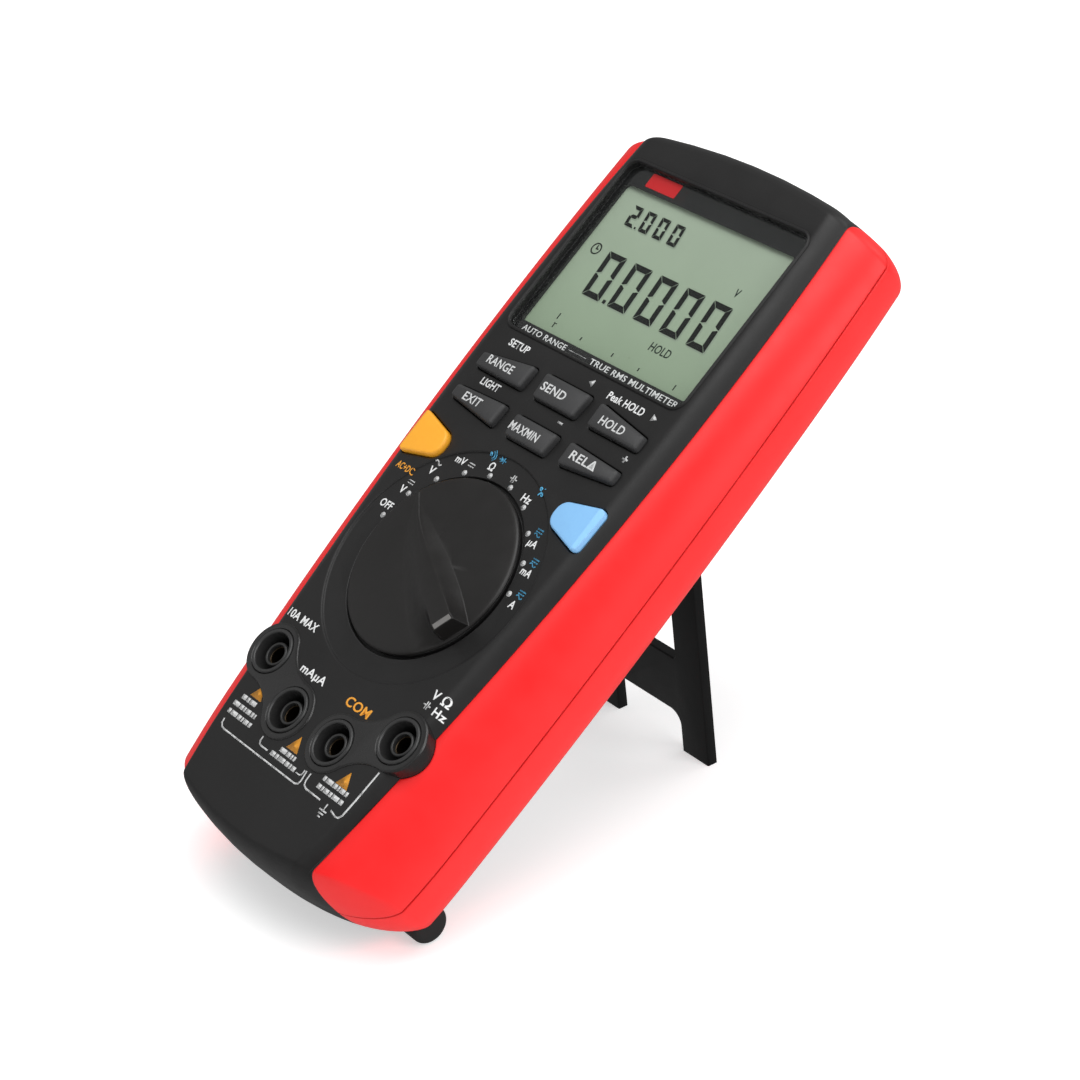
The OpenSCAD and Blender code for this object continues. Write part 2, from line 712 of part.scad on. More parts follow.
// square chip behind the main board, with pins along all four sides
module chip(x, y, width, side_pins) {
  translate([x, y, 0]) {
    mid_box(width, -width/2, width/2, -9.35, -7.95);
    for (a = [0:90:270]) rotate([0, 0, a]) for (i = [0:side_pins - 1])
      translate([width/2 - 0.4, (i - (side_pins - 1)/2)*width*0.85/side_pins - 0.2, -8.6])
        cube([1.6, 0.4, 0.85]);
  }
}
module measuring_chip() { color([0.08, 0.08, 0.08]) pose() chip(0, 93.5, 14, 8); }
module controller_chip() { color([0.08, 0.08, 0.08]) pose() chip(14, 110.5, 10, 6); }

module crystal() {
  color([0.75, 0.75, 0.77]) pose() plate(rect(-7, 4, 103.4, 106.2), 1.3, -11.2, rest_back);
}

// disc standing on edge, with two leads towards the board
module disc_part(at, thickness, r, lead_x, lead_len) {
  translate(at) rotate([90, 0, 0]) {
    cylinder(h = thickness, r = r, center = true);
    for (side = [-1, 1]) translate([side*lead_x, r - 0.6, 0])
      rotate([-90, 0, 0]) cylinder(h = lead_len, r = 0.35);
  }
}
module surge_varistors() {
  color([0.15, 0.30, 0.65]) pose() for (x = [-8, 8])
    disc_part([x, 83, -13.4], thickness = 3.4, r = 4.8, lead_x = 2.5, lead_len = 1.4);
}
module input_thermistor() {
  color([0.80, 0.55, 0.15]) pose()
    disc_part([24, 84, -12.6], thickness = 3, r = 4, lead_x = 2, lead_len = 1.45);
}

// half hoop of thick wire behind the socket board
module current_shunt() {
  color([0.72, 0.45, 0.25]) pose() translate([0, 34, jack_board_back - rest_gap])
    rotate([-90, 0, 0]) rotate_extrude(angle = 180, $fn = 48)
      translate([3.6, 0]) circle(r = 0.8, $fn = 24);
}

module filter_capacitors() {
  color([0.12, 0.16, 0.35]) pose()
    for (at = [[-27, 91], [-27, 98.5], [26, 103]]) cyl(at, -14.5, rest_back, 3.1);
}

module infrared_emitter() {
  color([0.25, 0.15, 0.30]) pose() translate([0, 166.6, 0]) {
    cyl([0, 0], -22.5, -12, 1.5);
    cyl([0, 0], -12.1, -11, 1.8);
    // bent leads
    for (x = [-0.9, 0.9]) translate([x, 0, 0]) {
      mid_box(0.5, -0.25, 0.25, -11.1, -8.1);
      mid_box(0.5, -9.6, 0.2, -8.6, -8.1);
    }
  }
}

module infrared_window() {
  color([0.22, 0.03, 0.06, 0.8]) pose() on_back(port_y) mid_box(7.8, -1.9, 1.9, 0.1, 2.3);
}

// ---- tilt stand -------------------------------------------------------------------------
// drawn along -y with its hinge at the origin
module stand_flat() {
  inner = stand_half - leg_w;
  // left half of the outline, with the notch between the feet
  left = [
    [-stand_half, 0], [-stand_half, -78], [-inner - 0.2, -78], [-inner, -70],
    [-inner, -61.6], [-inner + 0.9, -59.6], [-inner + 3, -58.4]];
  translate([0, 0, -leg_t/2]) linear_extrude(leg_t) difference() {
    polygon(concat(left, mirrored(left)));
    polygon(mid_rect(2*inner, -44, 5));
  }
  for (side = [-1, 1])
    translate([side*(stand_half - leg_w/2), 0, 0]) x_rod(leg_w, leg_t/2, center = true);
  // hinge stubs
  for (x = [-stand_half - 2.6, stand_half - 0.1]) translate([x, 0, 0]) x_rod(2.7, stub_r);
}

// swung open and trimmed level with the bench
module tilt_stand() {
  color([0.12, 0.12, 0.12]) intersection() {
    pose() translate([0, hinge_y, stub_z]) rotate([open_deg, 0, 0]) stand_flat();
    translate([-50, -200, 0]) cube([100, 400, 200]);
  }
}

front_shell();
front_grip_left();
front_grip_right();
rear_shell();
rear_grip_left();
rear_grip_right();
battery_door();
door_screw();
case_screws();
rubber_feet();
lcd_lens();
lcd_holder();
lcd_glass();
zebra_strips();
backlight_panel();
main_board();
jack_board();
dial_knob();
switch_rotor();
wiper_contacts();
rotor_screw();
keypad_membrane();
key_range();
key_send();
key_hold();
key_exit();
key_maxmin();
key_rel();
key_amber();
key_blue();
jack_sleeve_amp();
jack_sleeve_milliamp();
jack_sleeve_common();
jack_sleeve_volt();
jack_contact_amp();
jack_contact_milliamp();
jack_contact_common();
jack_contact_volt();
fuse_amp();
fuse_milliamp();
fuse_clips();
battery_9v();
battery_snap();
battery_leads();
tilt_stand();
buzzer();
measuring_chip();
controller_chip();
crystal();
surge_varistors();
input_thermistor();
current_shunt();
filter_capacitors();
board_screws();
infrared_emitter();
infrared_window();
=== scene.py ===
"""Multimeter leaning back on its opened tilt stand, on a pale floor.

Pieces are laid out flat in millimetres: x across the face, y up the face from the socket
end, z out of the face, which lies at z = 0. TO_ROW leans them back and turns them into
the metres of the frame.
"""
import json
import math

import bmesh
import bpy
import numpy as np
from mathutils import Matrix, Vector


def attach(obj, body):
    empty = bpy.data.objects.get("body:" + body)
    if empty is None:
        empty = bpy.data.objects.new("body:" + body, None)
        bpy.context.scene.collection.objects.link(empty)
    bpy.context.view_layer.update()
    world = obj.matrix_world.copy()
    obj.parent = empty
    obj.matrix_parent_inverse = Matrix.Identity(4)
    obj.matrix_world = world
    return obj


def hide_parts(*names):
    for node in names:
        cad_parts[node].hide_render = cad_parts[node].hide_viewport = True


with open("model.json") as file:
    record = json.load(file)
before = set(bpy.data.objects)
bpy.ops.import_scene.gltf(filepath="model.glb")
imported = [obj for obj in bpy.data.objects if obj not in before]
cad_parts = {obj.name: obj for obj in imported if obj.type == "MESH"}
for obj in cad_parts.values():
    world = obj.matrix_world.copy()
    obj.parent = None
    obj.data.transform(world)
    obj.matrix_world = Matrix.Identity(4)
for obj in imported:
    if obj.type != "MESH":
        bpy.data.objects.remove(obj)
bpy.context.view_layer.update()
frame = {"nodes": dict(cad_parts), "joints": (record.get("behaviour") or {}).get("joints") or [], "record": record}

# ---------------------------------------------------------------- layout frame
DIAL_Y = 69.5
dial_joint = next(j for j in frame["joints"] if j["name"] == "dial_turn")
_, axis_y, axis_z = dial_joint["axis"]
_, joint_y, joint_z = dial_joint["pos_m"]
LEAN_SIN, LEAN_COS = -axis_y, axis_z
ORIGIN_Y = joint_y * 1000 - DIAL_Y * LEAN_COS
ORIGIN_Z = joint_z * 1000 - DIAL_Y * LEAN_SIN
TO_ROW = Matrix(((0.001, 0, 0, 0),
                 (0, 0.001 * LEAN_COS, -0.001 * LEAN_SIN, 0.001 * ORIGIN_Y),
                 (0, 0.001 * LEAN_SIN, 0.001 * LEAN_COS, 0.001 * ORIGIN_Z),
                 (0, 0, 0, 1)))

# ---------------------------------------------------------------- outline of the case
Y_LOW, Y_HIGH = -0.4, 177.8      # ends of the case
BACK_SLOPE = 0.045
PARTING_SLOPE = 0.041
PARTING_DEPTH = 16.4             # of the parting line at y = 0
SHOULDER_DROP = 2.6              # fall of the shoulder beside the flat face
SHOULDER_POWER = 1.95
SIDE_POWER = 1.3333
REAR_RADIUS = 14.5
LOW_BOW, HIGH_BOW = 190, 400     # the ends bow by x * x over this
LOW_SWEEP, HIGH_SWEEP = 7, -2    # shift of the rear edge at the ends
LOW_ROUND, HIGH_ROUND = 4, 3.4   # lengths of the rounded ends
LOW_DRAW = (15, 14, 14)          # extra side, front and back inset at the very ends
HIGH_DRAW = (7, 7, 6)


def back_depth(y):
    return 33.8 - BACK_SLOPE * y


def low_taper(y):
    return max((130 - y) / 118, 0) ** 2


def high_taper(y):
    return max((y - 130) / 35, 0) ** 2


def face_half(y):
    """Half width of the black strip between the grips."""
    return 34.2 - 9.3 * low_taper(y) - 1.1 * high_taper(y)


def case_half(y):
    return 42.5 - 4.2 * low_taper(y) - 0.5 * high_taper(y)


def parting_depth(y):
    return PARTING_DEPTH - PARTING_SLOPE * y


def shoulder(y):
    """Width of the rounded shoulder beside the flat face."""
    return 4.6 * (0.55 + 0.45 * min(max((y - 15) / 45, 0), 1))


def half_section(y, front_steps, rear_steps, shoulder_steps):
    """(x, z) points from the middle of the face round +x to the middle of the back."""
    face, side, width = face_half(y), case_half(y), shoulder(y)
    deep, back = parting_depth(y) + 1, back_depth(y)
    flat_edge = face - width
    points = [(flat_edge * share, 0) for share in (0, 0.35, 0.7, 0.95)]
    for i in range(shoulder_steps + 1):
        t = i / shoulder_steps
        points.append((flat_edge + width * t, -SHOULDER_DROP * t ** SHOULDER_POWER))
    for i in range(1, front_steps + 1):
        a = math.pi / 2 * i / front_steps
        points.append((face + (side - face) * math.sin(a) ** SIDE_POWER,
                       -SHOULDER_DROP - (deep - SHOULDER_DROP)
                       * (1 - abs(math.cos(a)) ** SIDE_POWER)))
    inner = side - REAR_RADIUS
    for i in range(1, rear_steps + 1):
        a = math.pi / 2 * i / rear_steps
        points.append((inner + REAR_RADIUS * math.cos(a), -deep - (back - deep) * math.sin(a)))
    points += [(inner * 0.66, -back), (inner * 0.33, -back), (0, -back)]
    return np.array(points, float)


def ring(y, side, front, back, bow, sweep, counts):
    """Closed ring of the case at y, with insets; bow and sweep bend it along y."""
    mid = -back_depth(y) / 2
    half = half_section(y, *counts)
    x = half[:, 0] * (1 - side / case_half(y))
    z = half[:, 1]
    z = np.where(z > mid, mid + (z - mid) * (1 + front / mid), mid + (z - mid) * (1 + back / mid))
    half = np.c_[x, y + bow * x * x + sweep * np.maximum(z / mid - 1, 0) ** 3, z]
    mirror = half[1:-1][::-1].copy()
    mirror[:, 0] *= -1
    return np.vstack([half, mirror])


def skin(side, front, back, end, fine=True):
    """Vertices and faces of the closed case surface, drawn in by four insets."""
    *counts, end_rings, step = (22, 18, 9, 16, 4.0) if fine else (8, 6, 4, 6, 12.0)
    low, high = Y_LOW + end, Y_HIGH - end
    rings = []

    def add_ring(y, bow, sweep, share=0, draw=(0, 0, 0)):
        insets = [a + b * share for a, b in zip((side, front, back), draw)]
        rings.append(ring(y, *insets, bow, sweep, counts))

    for i in range(end_rings + 1):
        a = math.pi / 2 * i / end_rings
        add_ring(low + LOW_ROUND * (1 - math.cos(a)), 1 / LOW_BOW, LOW_SWEEP,
                 1 - math.sin(a), LOW_DRAW)
    start, stop = low + LOW_ROUND, 24.0
    count = max(int((stop - start) / step), 2)
    for i in range(1, count):
        t = i / count
        fade = (1 - t) ** 1.5
        add_ring(start + (stop - start) * t, fade / LOW_BOW, LOW_SWEEP * fade)
    for y in np.arange(24, 148.1, step):
        add_ring(float(y), 0, 0)
    start, stop = 148.0, high - HIGH_ROUND
    count = max(int((stop - start) / step), 2)
    for i in range(1, count):
        t = i / count
        add_ring(start + (stop - start) * t, -(t ** 1.5) / HIGH_BOW, HIGH_SWEEP * t ** 1.5)
    for i in range(end_rings, -1, -1):
        a = math.pi / 2 * i / end_rings
        add_ring(high - HIGH_ROUND * (1 - math.cos(a)), -1 / HIGH_BOW, HIGH_SWEEP,
                 1 - math.sin(a), HIGH_DRAW)

    size = len(rings[0])
    verts, faces = [], []

    def store(points):
        verts.extend(map(tuple, points))
        return len(verts) - size

    def join(a, b):
        for i in range(size):
            j = (i + 1) % size
            faces.append((a + i, b + i, b + j, a + j))

    starts = [store(points) for points in rings]
    for a, b in zip(starts, starts[1:]):
        join(a, b)
    for end_index, bow, sweep, y in ((0, 1 / LOW_BOW, LOW_SWEEP, low),
                                     (-1, -1 / HIGH_BOW, HIGH_SWEEP, high)):
        rim, last = rings[end_index], starts[end_index]
        mid = -back_depth(y) / 2
        centre = (rim[:, 2].max() + rim[:, 2].min()) / 2
        for scale in (0.9, 0.75, 0.55, 0.3):
            cap = rim.copy()
            cap[:, 0] *= scale
            cap[:, 2] = centre + (cap[:, 2] - centre) * scale
            bend = sweep * np.maximum(cap[:, 2] / mid - 1, 0) ** 3
            cap[:, 1] = y + bow * cap[:, 0] ** 2 + bend
            new = store(cap)
            if end_index == 0:
                join(new, last)
            else:
                join(last, new)
            last = new
        verts.append((0, y + sweep * max(centre / mid - 1, 0) ** 3, centre))
        tip = len(verts) - 1
        for i in range(size):
            a, b = last + i, last + (i + 1) % size
            faces.append((tip, a, b) if end_index == 0 else (tip, b, a))
    return verts, faces


# ---------------------------------------------------------------- mesh helpers
COLLECTION = bpy.context.scene.collection
QUARTER = np.linspace(0, math.pi / 2, 6)     # angles of a rounded edge


def add_object(name, data):
    obj = bpy.data.objects.new(name, data)
    COLLECTION.objects.link(obj)
    return obj


def solid(verts, faces):
    mesh = bpy.data.meshes.new("t")
    mesh.from_pydata([tuple(map(float, v)) for v in verts], [], faces)
    bm = bmesh.new()
    bm.from_mesh(mesh)
    bmesh.ops.remove_doubles(bm, verts=bm.verts, dist=1e-5)
    bmesh.ops.recalc_face_normals(bm, faces=bm.faces)
    bm.to_mesh(mesh)
    bm.free()
    return add_object("t", mesh)


def evaluated_mesh(obj):
    bpy.context.view_layer.update()
    graph = bpy.context.evaluated_depsgraph_get()
    return bpy.data.meshes.new_from_object(obj.evaluated_get(graph))


def bake(obj):
    mesh, old = evaluated_mesh(obj), obj.data
    obj.modifiers.clear()
    obj.data = mesh
    bpy.data.meshes.remove(old)
    return obj


def duplicate(obj):
    return add_object(obj.name + "_c", obj.data.copy())


def drop(*objects):
    for obj in objects:
        mesh = obj.data
        bpy.data.objects.remove(obj)
        if mesh.users == 0:
            bpy.data.meshes.remove(mesh)


def csg(target, operation, *tools, keep=False):
    """Applies each tool to the target; the tools are used up unless keep."""
    for tool in tools:
        modifier = target.modifiers.new("b", "BOOLEAN")
        modifier.operation, modifier.object, modifier.solver = operation, tool, "MANIFOLD"
        bake(target)
    if not keep:
        drop(*tools)
    return target


def unit(v):
    return v / np.linalg.norm(v)


def unit_rows(v):
    return v / np.maximum(np.linalg.norm(v, axis=1, keepdims=True), 1e-9)


def counter_clockwise(outline):
    x, y = outline[:, 0], outline[:, 1]
    area = np.sum(x * np.roll(y, -1) - np.roll(x, -1) * y)
    return outline[::-1] if area < 0 else outline


def rounded(points, radii, steps=6):
    """Counter-clockwise outline of a polygon with rounded corners."""
    points = [np.array(p, float) for p in points]
    if not isinstance(radii, (list, tuple)):
        radii = [radii] * len(points)
    outline = []
    for i, corner in enumerate(points):
        u = unit(points[i - 1] - corner)
        v = unit(points[(i + 1) % len(points)] - corner)
        half = math.acos(max(-1, min(1, float(u @ v)))) / 2
        reach = radii[i] / math.tan(half)
        centre = corner + unit(u + v) * radii[i] / math.sin(half)
        start, end = corner + u * reach - centre, corner + v * reach - centre
        turn = math.pi - 2 * half
        if start[0] * end[1] - start[1] * end[0] <= 0:
            turn = -turn
        for k in range(steps + 1):
            a = turn * k / steps
            outline.append(centre + np.array([start[0] * math.cos(a) - start[1] * math.sin(a),
                                              start[0] * math.sin(a) + start[1] * math.cos(a)]))
    return counter_clockwise(np.array(outline))


def offset(outline, distance):
    """Counter-clockwise outline grown outwards."""
    edge_in = unit_rows(outline - np.roll(outline, 1, 0))
    edge_out = unit_rows(np.roll(outline, -1, 0) - outline)
    normal_in = np.c_[edge_in[:, 1], -edge_in[:, 0]]
    normal = unit_rows(normal_in + np.c_[edge_out[:, 1], -edge_out[:, 0]])
    mitre = np.maximum(np.sum(normal * normal_in, axis=1, keepdims=True), 0.4)
    return outline + normal * distance / mitre


def stack(outline, levels):
    """Closed surface through one outline at several (offset, z) levels, bottom to top."""
    verts, faces = [], []
    n, top = len(outline), (len(levels) - 1) * len(outline)
    for grow, z in levels:
        verts += [(x, y, z) for x, y in offset(outline, grow)]
    for k in range(0, top, n):
        for i in range(n):
            j = (i + 1) % n
            faces.append((k + i, k + j, k + n + j, k + n + i))
    faces.append(tuple(range(n))[::-1])
    faces.append(tuple(top + i for i in range(n)))
    return verts, faces


def stacked(outline, levels):
    return solid(*stack(outline, levels))


def prism(outline, z0, z1):
    return stacked(np.array(outline, float), [(0, z0), (0, z1)])


def flare(outline, z0, z1, radius):
    """Cutter from z0 up, whose mouth at z1 opens with a radius."""
    mouth = [(radius * (1 - math.cos(math.pi / 2 * i / 4)),
              z1 - radius + radius * math.sin(math.pi / 2 * i / 4)) for i in range(5)]
    return stacked(outline, [(0, z0)] + mouth + [(radius + 0.02, 6.0)])


def circle(radius, sides=96, cx=0.0, cy=0.0):
    t = np.arange(sides) * 2 * math.pi / sides
    return np.c_[cx + radius * np.cos(t), cy + radius * np.sin(t)]


def lathe(profile, sides, cx=0.0, cy=0.0):
    """Closed surface of revolution from a closed (radius, z) profile."""
    verts, faces = [], []
    m = len(profile)
    for k in range(sides):
        t = 2 * math.pi * k / sides
        verts += [(cx + r * math.cos(t), cy + r * math.sin(t), z) for r, z in profile]
    for k in range(sides):
        near, far = k * m, (k + 1) % sides * m
        for i in range(m):
            j = (i + 1) % m
            if profile[i][0] >= 1e-6 or profile[j][0] >= 1e-6:
                faces.append((near + i, far + i, far + j, near + j))
    return verts, faces


def cube(x0, x1, y0, y1, z0, z1):
    verts = [(x, y, z) for x in (x0, x1) for y in (y0, y1) for z in (z0, z1)]
    return verts, [(0, 1, 3, 2), (4, 6, 7, 5), (0, 4, 5, 1),
                   (2, 3, 7, 6), (0, 2, 6, 4), (1, 5, 7, 3)]


def rect(x0, x1, y0, y1):
    return [(x0, y0), (x1, y0), (x1, y1), (x0, y1)]


def placed(matrix, verts, faces):
    return solid([tuple(matrix @ Vector(v)) for v in verts], faces)


def crosswise(profile, sides, x, y, z):
    """Turned solid whose axis lies along x."""
    matrix = Matrix.Translation((x, y, z)) @ Matrix.Rotation(math.pi / 2, 4, "Y")
    return placed(matrix, *lathe(profile, sides))


def cross_rod(radius, half, sides, x, y, z):
    return crosswise([(0, -half), (radius, -half), (radius, half), (0, half)], sides, x, y, z)


def on_back(y, verts, faces):
    """Solid given relative to the sloping back at y, +z inwards."""
    c, s = math.cos(math.atan(BACK_SLOPE)), math.sin(math.atan(BACK_SLOPE))
    return solid([(v[0], y + v[1] * c - v[2] * s, -back_depth(y) + v[1] * s + v[2] * c)
                  for v in verts], faces)


def merged(objects):
    """One object out of several that may overlap."""
    bm = bmesh.new()
    for obj in objects:
        bm.from_mesh(obj.data)
    mesh = bpy.data.meshes.new("m")
    bm.to_mesh(mesh)
    bm.free()
    drop(*objects)
    return add_object("m", mesh)


def paint(obj, mat):
    obj.data.materials.clear()
    obj.data.materials.append(mat)
    for face in obj.data.polygons:
        face.material_index = 0


def finish(obj, name, mat, slot, body="meter", replaces=None, sharp=32, in_mm=True):
    """Puts a mesh into the row frame as a finished piece; sharp is an angle in degrees."""
    if in_mm:
        obj.data.transform(TO_ROW)
    obj.name = obj.data.name = name
    paint(obj, mat)
    for face in obj.data.polygons:
        face.use_smooth = True
    obj.data.set_sharp_from_angle(angle=math.radians(sharp))
    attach(obj, body)
    if replaces:
        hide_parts(replaces)


def finish_node(obj, node, mat, slot, **options):
    """Finishes a piece that takes the place of the CAD node it is named after."""
    finish(obj, node + "_visual", mat, slot, replaces=node, **options)


# ---------------------------------------------------------------- shader helpers
def new_material(name):
    mat = bpy.data.materials.new(name)
    mat.use_nodes = True
    return mat, mat.node_tree


def add_node(tree, kind, inputs=None, **settings):
    """Shader node whose inputs are given as values or as sockets to link."""
    node = tree.nodes.new("ShaderNode" + kind)
    for setting, value in settings.items():
        setattr(node, setting, value)
    for socket, value in (inputs or {}).items():
        if isinstance(value, bpy.types.NodeSocket):
            tree.links.new(value, node.inputs[socket])
        else:
            node.inputs[socket].default_value = value
    return node


def coordinates(tree, kind="Object"):
    return add_node(tree, "TexCoord").outputs[kind]


def noise(tree, vector, scale, detail=2, roughness=0.5):
    return add_node(tree, "TexNoise", {"Vector": vector, "Scale": scale, "Detail": detail,
                                       "Roughness": roughness}).outputs["Fac"]


def map_range(tree, value, from_min, from_max, to_min, to_max):
    inputs = {0: value, 1: from_min, 2: from_max, 3: to_min, 4: to_max}
    return add_node(tree, "MapRange", inputs).outputs[0]


def mix(tree, factor, a, b, **settings):
    """Colour mix; sockets 6, 7 and output 2 are the colour ones."""
    inputs = {0: factor, 6: a, 7: b}
    return add_node(tree, "Mix", inputs, data_type="RGBA", **settings).outputs[2]


def scaled(color, gain=1, lift=0):
    return (*(min(1, c * gain + lift) for c in color), 1)


# ---------------------------------------------------------------- materials
def material(name, color, rough=0.5, bump=0.12, grain=2600, edge=0.25, edge_highlight_color=None,
             bevel=0.00025, spread=0.08, mottle=0.05, specular=0.5, metal=0.0, stretch=None):
    """Moulded or metal surface with blotches, fine grain and edges paled by a painted highlight.

    grain is the scale of the bumps, stretch squeezes them along an axis, bevel is the width
    of the painted edge highlight in metres, edge its strength, and spread the blotch contrast.
    """
    mat, tree = new_material(name)
    tree.nodes.clear()
    plain = grained = coordinates(tree)
    if stretch:
        grained = add_node(tree, "Mapping", {0: plain, "Scale": stretch}).outputs[0]
    blotch = noise(tree, plain, 45, detail=3, roughness=0.55)
    speck = noise(tree, grained, grain * 0.35, roughness=0.6)
    base = mix(tree, map_range(tree, blotch, 0.3, 0.7, 0, 1),
               scaled(color, 1 - spread), scaled(color, 1 + spread, 0.002))
    base = mix(tree, map_range(tree, speck, 0.35, 0.75, 0, mottle), base,
               scaled(color, 1.6, 0.01))
    # edges show where the bevelled normal leaves the true one; there a painted highlight, patchy with noise, pales
    # the colour
    soft = add_node(tree, "Bevel", {"Radius": bevel}, samples=4).outputs[0]
    true_normal = add_node(tree, "NewGeometry").outputs["Normal"]
    match = add_node(tree, "VectorMath", {0: soft, 1: true_normal}, operation="DOT_PRODUCT")
    at_edge = map_range(tree, match.outputs["Value"], 0.97, 0.75, 0, edge)
    highlight_breakup = map_range(tree, noise(tree, plain, 260, detail=3, roughness=0.6), 0.3, 0.6, 0.35, 1)
    edge_highlight = add_node(tree, "Math", {0: at_edge, 1: highlight_breakup}, operation="MULTIPLY").outputs[0]
    base = mix(tree, edge_highlight, base,
               scaled(edge_highlight_color) if edge_highlight_color else scaled(color, 2.2, 0.02))
    sheen = map_range(tree, noise(tree, plain, 180, detail=4, roughness=0.6), 0.25, 0.75,
                      max(rough - 0.05, 0.02), min(rough + 0.06, 1))
    height = noise(tree, grained, grain, roughness=0.65)
    relief = add_node(tree, "Bump", {"Strength": bump, "Distance": 0.00006,
                                     "Height": height, "Normal": soft})
    surface = add_node(tree, "BsdfPrincipled", {
        "Base Color": base, "Roughness": sheen, "Metallic": metal,
        "Specular IOR Level": specular, "Coat Roughness": 0.08, "Normal": relief.outputs[0]})
    add_node(tree, "OutputMaterial", {0: surface.outputs[0]})
    return mat


def clear_material(name):
    """See-through lens with a faint uneven gloss."""
    mat, tree = new_material(name)
    tree.nodes.clear()
    clear = add_node(tree, "BsdfTransparent", {0: (0.97, 0.98, 0.975, 1)})
    rough = map_range(tree, noise(tree, coordinates(tree), 90), 0, 1, 0.05, 0.12)
    gloss = add_node(tree, "BsdfGlossy", {"Roughness": rough})
    fresnel = add_node(tree, "Fresnel", {"IOR": 1.45})
    share = add_node(tree, "Math", {0: fresnel.outputs[0], 1: 0.10}, operation="MULTIPLY")
    blend = add_node(tree, "MixShader", {0: share.outputs[0], 1: clear.outputs[0],
                                         2: gloss.outputs[0]})
    add_node(tree, "OutputMaterial", {0: blend.outputs[0]})
    return mat


def lcd_material(name):
    """Grey-green panel with painted shade that darkens it towards its lower edge."""
    mat = material(name, (0.37, 0.445, 0.345), rough=0.32, spread=0.03, grain=1500, bump=0.02,
                   edge=0.0, mottle=0.01, specular=0.4)
    tree = mat.node_tree
    base_input = tree.nodes["Principled BSDF"].inputs["Base Color"]
    base = base_input.links[0].from_socket
    # painted shade: the colour darkens towards the panel's lower edge
    split = add_node(tree, "SeparateXYZ", {0: coordinates(tree, "Generated")})
    ramp = add_node(tree, "ValToRGB", {0: split.outputs[1]})
    ramp.color_ramp.elements[0].color = (0.80, 0.86, 0.76, 1)
    ramp.color_ramp.elements[1].color = (1.06, 1.04, 1.05, 1)
    shaded = mix(tree, 1.0, base, ramp.outputs[0], blend_type="MULTIPLY")
    tree.links.new(shaded, base_input)
    return mat


def plain_material(name, color, rough=0.6, **options):
    return material(name, color, rough=rough, bump=0.02, edge=0.0, **options)


def ink(name, color):
    return material(name, color, bump=0.05, edge=0.0, spread=0.03)


CASE_TINT = (0.0105, 0.0102, 0.0102)
CASE = material("case_black", CASE_TINT, rough=0.46, bump=0.22, grain=2400, edge=0.75,
                edge_highlight_color=(0.13, 0.13, 0.132), specular=0.32)
COLLAR = material("collar_black", CASE_TINT, rough=0.24, bump=0.08, grain=2400, edge=0.6,
                  edge_highlight_color=(0.14, 0.14, 0.142))
RED = material("grip_red", (0.86, 0.009, 0.010), rough=0.42, bump=0.10, grain=3200, edge=0.15,
               edge_highlight_color=(0.92, 0.06, 0.06), spread=0.02, bevel=0.0004, specular=0.42,
               mottle=0.01)
REAR = material("rear_black", (0.017, 0.017, 0.018), rough=0.55, bump=0.30, grain=1900,
                edge=0.22, edge_highlight_color=(0.09, 0.09, 0.095), specular=0.4)
KNOB = material("knob_black", (0.0078, 0.0070, 0.0066), rough=0.38, bump=0.10, grain=2800,
                edge=0.45, edge_highlight_color=(0.14, 0.14, 0.14), bevel=0.0003, specular=0.40)
KEY_GREY = material("key_grey", (0.033, 0.033, 0.034), rough=0.58, bump=0.24, grain=2200,
                    edge=0.55, edge_highlight_color=(0.14, 0.14, 0.145), bevel=0.0004)
AMBER = material("key_amber", (0.93, 0.40, 0.022), rough=0.42, bump=0.08, edge=0.35,
                 edge_highlight_color=(1.0, 0.62, 0.16), spread=0.03, bevel=0.0004)
BLUE = material("key_blue", (0.24, 0.52, 0.87), rough=0.42, bump=0.08, edge=0.45,
                edge_highlight_color=(0.55, 0.80, 1.0), spread=0.03, bevel=0.0004)
SLEEVE = material("sleeve_black", (0.022, 0.022, 0.022), rough=0.36, bump=0.06, edge=0.6,
                  edge_highlight_color=(0.12, 0.12, 0.12), bevel=0.0002)
STAND = material("stand_black", (0.0022, 0.0022, 0.0023), rough=0.42, bump=0.16, grain=2100,
                 edge=0.30, edge_highlight_color=(0.06, 0.06, 0.06), bevel=0.0003, specular=0.22)
FOOT = material("foot_rubber", (0.010, 0.010, 0.010), rough=0.72, bump=0.35, grain=1500,
                edge=0.2, bevel=0.0003)
MASK = material("lens_mask", (0.005, 0.005, 0.0053), rough=0.35, bump=0.01, edge=0.1,
                specular=0.25)
LCD = lcd_material("lcd_panel")
SEGMENT = plain_material("lcd_segment", (0.003, 0.004, 0.0035), specular=0.0)
FAINT = plain_material("lcd_segment_faint", (0.018, 0.028, 0.022), specular=0.0)
SHADOW = plain_material("lcd_shadow", (0.27, 0.33, 0.25), rough=0.5)
LENS = clear_material("lens_clear")
WHITE_INK = ink("print_white", (0.86, 0.87, 0.87))
KEY_INK = ink("print_key_grey", (0.66, 0.67, 0.67))
AMBER_INK = ink("print_amber", (0.86, 0.36, 0.03))
CYAN_INK = ink("print_cyan", (0.10, 0.46, 0.76))
BRASS = material("contact_brass", (0.09, 0.065, 0.04), rough=0.38, metal=1.0, bump=0.05,
                 edge=0.2, stretch=(1, 1, 0.1))
STEEL = material("screw_steel", (0.52, 0.52, 0.53), rough=0.32, metal=1.0, bump=0.10,
                 edge=0.3, stretch=(1, 0.15, 1))
# painted highlight: pale plate laid on the chamfer at the knob's tail
TAIL_HIGHLIGHT = material("knob_tail_painted_highlight", (0.16, 0.155, 0.15), rough=0.26, bump=0.05,
                    grain=2800, edge=0.2, edge_highlight_color=(0.35, 0.35, 0.34), bevel=0.0002)
TAB = material("red_tab", (0.55, 0.010, 0.014), rough=0.4, bump=0.04, edge=0.1, spread=0.03)

